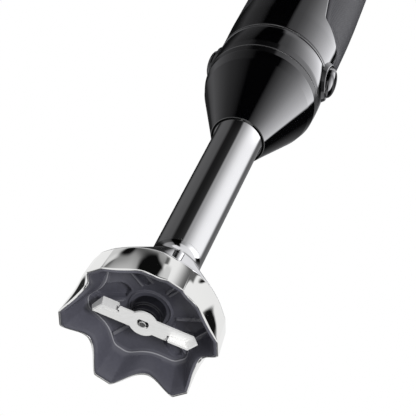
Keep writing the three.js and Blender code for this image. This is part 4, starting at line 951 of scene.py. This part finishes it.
CAP_BOTTOM = HANDLE_TOP + GAP
CAP_ROUNDING = 6
CAP_RADIUS = float(handle_radius(CAP_BOTTOM))
DIAL_Y = -6
DIAL_RADIUS = 12.5
DIAL_FLOOR = CAP_TOP - 6.4
DIAL_TOP = CAP_TOP + 4
DIAL_STEM = 3
DIAL_STEM_BOTTOM = 381.6
DIAL_WELL_WALL = 1.6
DIAL_RIDGES = 24
DIAL_MARKS = 9
GLAND_Y = 15.5
GLAND_RADIUS = 5.5
GLAND_BORE = 3.7
SLIDE = 0.4


def top_cap():
    inner = CAP_RADIUS - HANDLE_WALL
    corners = [
        (0, CAP_TOP - HANDLE_WALL), (CAP_RADIUS - CAP_ROUNDING, CAP_TOP - HANDLE_WALL),
        (inner, CAP_TOP - CAP_ROUNDING), (inner, CAP_BOTTOM), (CAP_RADIUS, CAP_BOTTOM, 0.3),
        (CAP_RADIUS, CAP_TOP, CAP_ROUNDING), (0, CAP_TOP),
    ]
    cap = lathe("cap", corners, 16, 4, 128, "gloss_black", "motor_unit", "top_cap")
    well = DIAL_RADIUS + SLIDE
    round_well = circle(well + DIAL_WELL_WALL, (0, DIAL_Y), 96)
    carve(cap, prism(round_well, DIAL_FLOOR - 2, CAP_TOP - 1), operation="UNION")
    holes = [
        prism(circle(well, (0, DIAL_Y), 128), DIAL_FLOOR, CAP_TOP + 1),
        prism(circle(DIAL_STEM + SLIDE, (0, DIAL_Y)), CAP_BOTTOM, CAP_TOP + 1),
        prism(circle(GLAND_RADIUS + GAP, (0, GLAND_Y)), CAP_BOTTOM, CAP_TOP + 1),
    ]
    # Plain sunk dots round the dial, from a small one at its lowest speed to a large one at its highest.
    for mark, turn in enumerate(np.radians(np.linspace(-135, 135, DIAL_MARKS))):
        at = ((well + 2.4) * math.sin(turn), DIAL_Y - (well + 2.4) * math.cos(turn))
        size = 0.35 + 0.06 * mark
        holes.append(prism(circle(size, at, 24), CAP_TOP - 0.8, CAP_TOP + 1))
    carve(cap, *holes)
    bevelled(cap, 0.3, 2, 40)


def speed_dial():
    """A ridged knob with a dished face, a raised pointer bar and its stem."""
    heights = np.linspace(DIAL_FLOOR + GAP + 0.3, DIAL_TOP - 0.7, 12)
    middle = np.array([(1, z) for z in heights])
    edge_in = [(0.94, DIAL_FLOOR + GAP), (0.985, DIAL_FLOOR + GAP + 0.1)]
    edge_out = [(0.992, DIAL_TOP - 0.42), (0.975, DIAL_TOP - 0.2), (0.95, DIAL_TOP - 0.06), (0.92, DIAL_TOP)]
    face = [(0.87, DIAL_TOP), (0.855, DIAL_TOP - 0.05), (0.84, DIAL_TOP - 0.2), (0.82, DIAL_TOP - 0.42)]
    face += [(0.79, DIAL_TOP - 0.5), (0.4, DIAL_TOP - 0.68), (0, DIAL_TOP - 0.72)]
    profile = np.array([(0, DIAL_FLOOR + GAP), *edge_in, *middle.tolist(), *edge_out, *face])
    turns = full_turn(DIAL_RIDGES * 12)
    groove = 0.5 * (0.5 - 0.5 * np.cos(turns * DIAL_RIDGES)) ** 2
    share, height = profile[:, :1], profile[:, 1:]
    fluted = smooth((share - 0.88) / 0.1) * smooth((height - DIAL_FLOOR - 1) / 1.0)
    points = polar(DIAL_RADIUS * share - groove * fluted, turns, height) + (0, DIAL_Y, 0)
    faces = grid_faces(len(profile), len(turns), wrap_columns=True)
    knob = add_piece("dial", points, faces, "dark_plastic", "dial", "speed_dial")
    stem = prism(circle(DIAL_STEM, (0, DIAL_Y), 48), DIAL_STEM_BOTTOM, DIAL_FLOOR + 1)
    pointer = [(-0.55, DIAL_Y - 9.4), (0.55, DIAL_Y - 9.4), (0.55, DIAL_Y - 3.5), (-0.55, DIAL_Y - 3.5)]
    carve(knob, stem, prism(pointer, DIAL_TOP - 1.2, DIAL_TOP - 0.05), operation="UNION")


def cord_gland():
    low, top = CAP_TOP - HANDLE_WALL - 2, CAP_TOP + 3
    corners = [
        (GLAND_BORE, low), (GLAND_RADIUS, low, 0.3), (GLAND_RADIUS, CAP_TOP + GAP),
        (GLAND_RADIUS + 1.3, CAP_TOP + GAP, 0.2), (GLAND_RADIUS + 1.3, top - 1.3, 0.5),
        (GLAND_RADIUS - 0.2, top, 0.7), (GLAND_BORE, top, 0.5),
    ]
    lathe("gland", corners, 6, 1, 72, "seal_black", "motor_unit", "cord_gland", centre=(0, GLAND_Y))


def thumb_button(name, height, body, node_name):
    """An oval button with a softly dished face on a round stem, in a window of the front shell."""
    front_at = float(handle_radius(height)) + 1.2
    rings = np.concatenate([[0], np.linspace(0.12, 0.88, 12), [0.92, 0.95, 0.97, 0.985, 0.995, 1.0]])
    face = front_at - 0.35 * (1 - rings**2) - 0.9 * np.clip((rings - 0.86) / 0.14, 0, 1) ** 3
    wall = [(0.0, front_at - 5), (0.97, front_at - 5), (1.0, front_at - 4.7), (1.0, front_at - 2)]
    points, faces = oval_button(np.array(wall + list(zip(rings, face))[::-1]), *THUMB_HALF, height)
    points = points[..., [1, 0, 2]] * (1, -1, 1)
    button = add_piece(name, points, faces, "gloss_black", body, node_name)
    stem = facing_front(oval_bar(THUMB_STEM, THUMB_STEM, 11.6, front_at - 4, height, 32))
    carve(button, stem, operation="UNION")


top_cap()
speed_dial()
cord_gland()
thumb_button("power", POWER_HEIGHT, "power", "power_button")
thumb_button("turbo", TURBO_HEIGHT, "turbo", "turbo_button")

# -------- inner pieces

INNER_SLOTS = (
    "plain_steel", "laminated_steel", "inner_plastic", "dark_plastic", "bronze", "copper", "carbon",
    "board_green", "capacitor_yellow",
)

# Every CAD node that stays gets the finish of its material slot.
for part in frame["record"]["subparts"]:
    if part["material_slot"] in INNER_SLOTS:
        held = frame["nodes"][part["node"]].data.materials
        held.clear()
        held.append(finishes[part["material_slot"]])

# -------- stage


def math_node(tree, operation, *values):
    return node(tree, "Math", *values, operation=operation).outputs[0]


def soft_step(tree, value, start, end):
    """0 before start, 1 after end, with a smooth rise between them. It falls where end is below start."""
    ends = dict(From_Min=min(start, end), From_Max=max(start, end), To_Min=start > end, To_Max=start < end)
    return node(tree, "MapRange", value, **ends, interpolation_type="SMOOTHSTEP").outputs["Result"]


def angles_of(tree, vector):
    """Azimuth and elevation in degrees of a vector."""
    unit = node(tree, "VectorMath", vector, operation="NORMALIZE").outputs[0]
    x, y, z = node(tree, "SeparateXYZ", unit).outputs
    azimuth = math_node(tree, "MULTIPLY", math_node(tree, "ARCTAN2", y, x), math.degrees(1))
    elevation = math_node(tree, "MULTIPLY", math_node(tree, "ARCSINE", z), math.degrees(1))
    return azimuth, elevation


BRIGHTEST = 8


def around(tree, azimuth, stops):
    """Brightness round the compass from (azimuth in degrees, level) stops."""
    ramp = node(tree, "ValToRGB", math_node(tree, "MULTIPLY_ADD", azimuth, 1 / 360, 0.5))
    elements = ramp.color_ramp.elements
    while len(elements) > 1:
        elements.remove(elements[-1])
    elements[0].position = 0
    for index, (degrees, level) in enumerate(stops):
        element = elements.new((degrees + 180) / 360) if index else elements[0]
        element.color = (*[level / BRIGHTEST] * 3, 1)
    return math_node(tree, "MULTIPLY", ramp.outputs["Color"], BRIGHTEST)


def blend_levels(tree, first, second, share):
    kept = math_node(tree, "MULTIPLY", first, math_node(tree, "SUBTRACT", 1.0, share))
    return math_node(tree, "ADD", kept, math_node(tree, "MULTIPLY", second, share))


def mix_shaders(tree, share, first, second):
    return node(tree, "MixShader", share, first.outputs[0], second.outputs[0])


def seen_straight(tree):
    """1 for rays from the camera, straight or through something clear."""
    path = node(tree, "LightPath").outputs
    return math_node(tree, "MAXIMUM", path["Is Camera Ray"], path["Is Transmission Ray"])


# What the studio shows to polished surfaces, from the horizon up: a big soft box at the right front, black
# flags beside it and a dim wall behind. Each band is (azimuth, brightness) stops.
STUDIO_LOW = [
    (-180, 0.26), (-165, 0.22), (-150, 0.16), (-135, 0.12), (-122, 0.07), (-116, 0.04), (-110, 0.001),
    (-68, 0.001), (-62, 0.17), (-54, 0.32), (-42, 0.62), (-30, 1.02), (-18, 1.6), (-6, 2.3), (6, 2.8),
    (18, 3.2), (23, 3.2), (26, 0.005), (48, 0.005), (66, 0.08), (90, 0.12), (110, 0.05), (125, 0.02),
    (138, 0.03), (150, 0.14), (165, 0.26), (180, 0.26),
]
STUDIO_MIDDLE = [
    (-180, 0.105), (-150, 0.09), (-138, 0.085), (-132, 0.055), (-124, 0.011), (-108, 0.012), (-90, 0.022),
    (-82, 0.03), (-76, 0.31), (-66, 0.35), (-54, 0.51), (-42, 0.68), (-30, 0.84), (-18, 0.92), (-6, 0.96),
    (20, 0.98), (32, 0.88), (40, 0.33), (48, 0.11), (60, 0.12), (80, 0.15), (104, 0.2), (118, 0.03),
    (140, 0.012), (152, 0.03), (164, 0.1), (180, 0.105),
]
STUDIO_HIGH = [
    (-180, 0.085), (-160, 0.075), (-145, 0.062), (-138, 0.04), (-131, 0.001), (-86, 0.001), (-80, 0.24),
    (-66, 0.32), (-54, 0.5), (-42, 0.76), (-30, 1.05), (-18, 1.4), (-6, 1.7), (6, 1.95), (18, 2.15),
    (36, 2.4), (41, 0.005), (58, 0.005), (72, 0.07), (90, 0.22), (102, 0.6), (112, 0.8), (114.5, 0.8),
    (116.2, 0.02), (135, 0.008), (155, 0.01), (168, 0.04), (180, 0.085),
]
STUDIO_TOP = [
    (-180, 0.3), (-150, 0.25), (-134, 0.2), (-128, 0.003), (-92, 0.003), (-82, 0.6), (-62, 0.7), (-30, 0.8),
    (36, 0.85), (72, 0.75), (86, 0.25), (100, 0.4), (108, 0.85), (118.6, 0.85), (120.4, 0.3), (180, 0.3),
]
STUDIO_FLOOR = [
    (-180, 0.88), (-162, 0.85), (-145, 0.4), (-112, 0.38), (-104, 0.15), (-90, 0.15), (-82, 0.8),
    (-60, 0.85), (-50, 0.16), (-4, 0.12), (14, 0.8), (72, 0.85), (95, 0.06), (130, 0.05), (147, 0.85),
    (180, 0.88),
]
STUDIO_TINT = (1.0, 1.0, 1.035)
STUDIO_FILL = (0.5, 0.5, 0.506, 1)


def studio_world():
    world = bpy.data.worlds.new("studio")
    bpy.context.scene.world = world
    world.use_nodes = True
    world.cycles.sampling_method = "NONE"
    tree = world.node_tree
    tree.nodes.clear()
    azimuth, elevation = angles_of(tree, node(tree, "TexCoord").outputs["Generated"])
    above = math_node(tree, "MAXIMUM", math_node(tree, "SUBTRACT", elevation, 12), 0.0)
    leaning = math_node(tree, "SUBTRACT", azimuth, math_node(tree, "MULTIPLY", above, 0.3))
    level = around(tree, leaning, STUDIO_LOW)
    for stops, start, end in ((STUDIO_MIDDLE, 40, 46), (STUDIO_HIGH, 51, 52), (STUDIO_TOP, 62, 67)):
        level = blend_levels(tree, level, around(tree, azimuth, stops), soft_step(tree, elevation, start, end))
    behind = soft_step(tree, math_node(tree, "ABSOLUTE", azimuth), 110, 125)
    behind = math_node(tree, "MULTIPLY", behind, soft_step(tree, elevation, 75, 79))
    level = blend_levels(tree, level, 0.85, behind)
    level = blend_levels(tree, level, 0.75, soft_step(tree, elevation, 76, 84))
    level = blend_levels(tree, level, around(tree, azimuth, STUDIO_FLOOR), soft_step(tree, elevation, 3, -5))
    tinted = node(tree, "VectorMath", level, STUDIO_TINT, operation="MULTIPLY").outputs[0]

    studio, fill, white = (node(tree, "Background", Color=c) for c in (tinted, STUDIO_FILL, (1, 1, 1, 1)))
    lit = mix_shaders(tree, node(tree, "LightPath").outputs["Is Glossy Ray"], fill, studio)
    node(tree, "OutputWorld", mix_shaders(tree, seen_straight(tree), lit, white).outputs[0])


def hide_from(obj, *rays):
    for kind in rays:
        setattr(obj, "visible_" + kind, False)


TENT_CENTRE = 0.010
TENT_RADIUS = 0.10


def reflection_tent():
    """A ring of white and black cards close round the bell, which only polished surfaces see."""
    azimuths = np.linspace(-math.pi, math.pi, 97)[:-1]
    elevations = np.radians(np.linspace(-84, 54, 58))
    points = polar(np.cos(elevations)[:, None], azimuths, np.sin(elevations)[:, None])
    mesh = bpy.data.meshes.new("tent")
    faces = [face[::-1] for face in grid_faces(len(elevations), len(azimuths), wrap_columns=True)]
    mesh.from_pydata((points.reshape(-1, 3) * TENT_RADIUS).tolist(), [], faces)
    mesh.polygons.foreach_set("use_smooth", [True] * len(mesh.polygons))
    tent = new_object("tent", mesh)
    tent.location = (0, 0, TENT_CENTRE)

    material = bpy.data.materials.new("tent_cards")
    material.use_nodes = True
    tree = material.node_tree
    tree.nodes.clear()
    azimuth, elevation = angles_of(tree, node(tree, "TexCoord").outputs["Object"])

    def product(first, *shares):
        for share in shares:
            first = math_node(tree, "MULTIPLY", first, share)
        return first

    def span(value, start, full, full_end, end):
        """1 from full to full_end, fading to 0 at start and end."""
        return product(soft_step(tree, value, start, full), soft_step(tree, value, end, full_end))

    def box(value, edges, elevations):
        return product(span(value, *edges), span(elevation, *elevations))

    def past(edges, softness):
        """1 on the greater-azimuth side of an edge that runs through (elevation, azimuth) points."""
        line = edges[0][1]
        for (low, at_low), (high, at_high) in zip(edges[:-1], edges[1:]):
            step = node(
                tree, "MapRange", elevation, From_Min=low, From_Max=high, To_Min=0, To_Max=at_high - at_low
            )
            line = math_node(tree, "ADD", step.outputs["Result"], line)
        return soft_step(tree, math_node(tree, "SUBTRACT", azimuth, line), -softness, softness)

    def between(first, second, elevations):
        within = product(first, math_node(tree, "SUBTRACT", 1.0, second))
        return product(within, span(elevation, *elevations))

    left_blob = between(
        past([(0, -150), (20, -146)], 9),
        past([(14, -96), (17, -100), (26, -103), (31, -106), (36, -111), (42, -118)], 4),
        (-16, -8, 33, 41),
    )
    right_blob = between(
        past([(0, -36), (20, -33)], 6),
        past([(14, -20), (18, -18.5), (23, -14.5), (27, -12), (33, -10.5)], 2.5),
        (11, 18, 31, 37),
    )
    wide_facet = box(azimuth, (-56.5, -51.5, -3, 2), (39, 43, 60, 70))
    narrow_facet = box(azimuth, (-56.5, -51.5, -42, -36), (20, 28, 60, 70))
    cards = [
        (0.1, box(azimuth, (50, 85, 140, 175), (-72, -60, -32, -18))),
        (
            math_node(tree, "MULTIPLY_ADD", soft_step(tree, azimuth, -104, -80), 0.26, 0.26),
            box(azimuth, (-120, -112, -84, -76), (-14, -8, 33, 39)),
        ),
        (0.64, box(azimuth, (-160, -140, -108, -102), (36, 40, 80, 90))),
        (0.12, box(azimuth, (-106, -102, -94, -87), (33, 36, 38, 42))),
        (0.004, left_blob),
        (0.006, right_blob),
        (0.12, math_node(tree, "MAXIMUM", wide_facet, narrow_facet)),
        (0.02, box(math_node(tree, "ABSOLUTE", azimuth), (161, 166, 190, 200), (18, 24, 30, 33))),
        (0.02, box(azimuth, (80, 95, 130, 142), (-16, -12, 60, 70))),
    ]
    level = 0.88
    for brightness, share in cards:
        level = blend_levels(tree, level, brightness, share)

    outside = node(tree, "NewGeometry").outputs["Backfacing"]
    unseen = math_node(tree, "MAXIMUM", outside, soft_step(tree, elevation, 49, 53))
    mix = mix_shaders(tree, unseen, node(tree, "Emission", level), node(tree, "BsdfTransparent"))
    node(tree, "OutputMaterial", mix.outputs[0])
    material.cycles.emission_sampling = "NONE"
    mesh.materials.append(material)
    hide_from(tent, "camera", "diffuse", "transmission", "volume_scatter", "shadow")


# The attachment slides down this far when it is taken off, so the floor lies just under that.
FLOOR_LEVEL = -0.0305
FLOOR_GLOW = 0.36
FLOOR_HALF = 3.0


def pale_floor():
    material = new_material("floor_pale", (0.9, 0.9, 0.9), 0.9)
    tree = material.node_tree
    shader = tree.nodes["Principled BSDF"]
    # The floor shows paler than the dim studio lights it, and keeps the object's shadow.
    glossy = node(tree, "LightPath").outputs["Is Glossy Ray"]
    seen = math_node(tree, "MAXIMUM", seen_straight(tree), glossy)
    join(tree, math_node(tree, "MULTIPLY", seen, FLOOR_GLOW), shader.inputs["Emission Strength"])
    shader.inputs["Emission Color"].default_value = (1, 1, 1, 1)
    outside = node(tree, "NewGeometry").outputs["Backfacing"]
    mix = mix_shaders(tree, outside, shader, node(tree, "BsdfTransparent"))
    join(tree, mix.outputs[0], tree.nodes["Material Output"].inputs[0])
    mesh = bpy.data.meshes.new("floor")
    corners = [(x * FLOOR_HALF, y * FLOOR_HALF, FLOOR_LEVEL) for x, y in ((-1, -1), (1, -1), (1, 1), (-1, 1))]
    mesh.from_pydata(corners, [], [(0, 1, 2, 3)])
    floor = new_object("floor", mesh)
    mesh.materials.append(material)
    hide_from(floor, "shadow", "glossy", "diffuse")


KEY_PLACE = Vector((0.78, -0.72, -0.68))
KEY_TARGET = Vector((0, 0, 0.05))
KEY_SIZE = 0.3
KEY_WATTS = 15.5


def key_lamp():
    data = bpy.data.lights.new("key", "AREA")
    data.shape = "DISK"
    data.size = KEY_SIZE
    data.energy = KEY_WATTS
    lamp = new_object("key", data)
    lamp.location = KEY_PLACE
    lamp.rotation_euler = (KEY_TARGET - KEY_PLACE).to_track_quat("-Z", "Y").to_euler()
    hide_from(lamp, "glossy")


# Polished pieces show the studio, not one another, so that their reflections stay clean.
for piece in bpy.data.objects:
    piece.visible_glossy = piece.name in ("liner", "cutting_blade", "seal", "shaft")

studio_world()
reflection_tent()
pale_floor()
key_lamp()

# The camera looks steeply up into the bell from the front, on the right.
CAMERA_PLACE = (0.206274, -0.497568, -0.528810)
CAMERA_FORWARD = Vector((-0.25009, 0.60978, 0.75208))
CAMERA_UP = Vector((-0.16865, -0.79233, 0.58632))
camera_data = bpy.data.cameras.new("camera")
camera_data.lens = 165.85
camera_data.sensor_width = 36
camera_data.clip_start = 0.01
camera_data.clip_end = 20
camera = new_object("camera", camera_data)
camera_axes = Matrix((CAMERA_FORWARD.cross(CAMERA_UP), CAMERA_UP, -CAMERA_FORWARD)).transposed().to_4x4()
camera.matrix_world = Matrix.Translation(CAMERA_PLACE) @ camera_axes
bpy.context.scene.camera = camera
bpy.context.scene.view_settings.view_transform = "Standard"
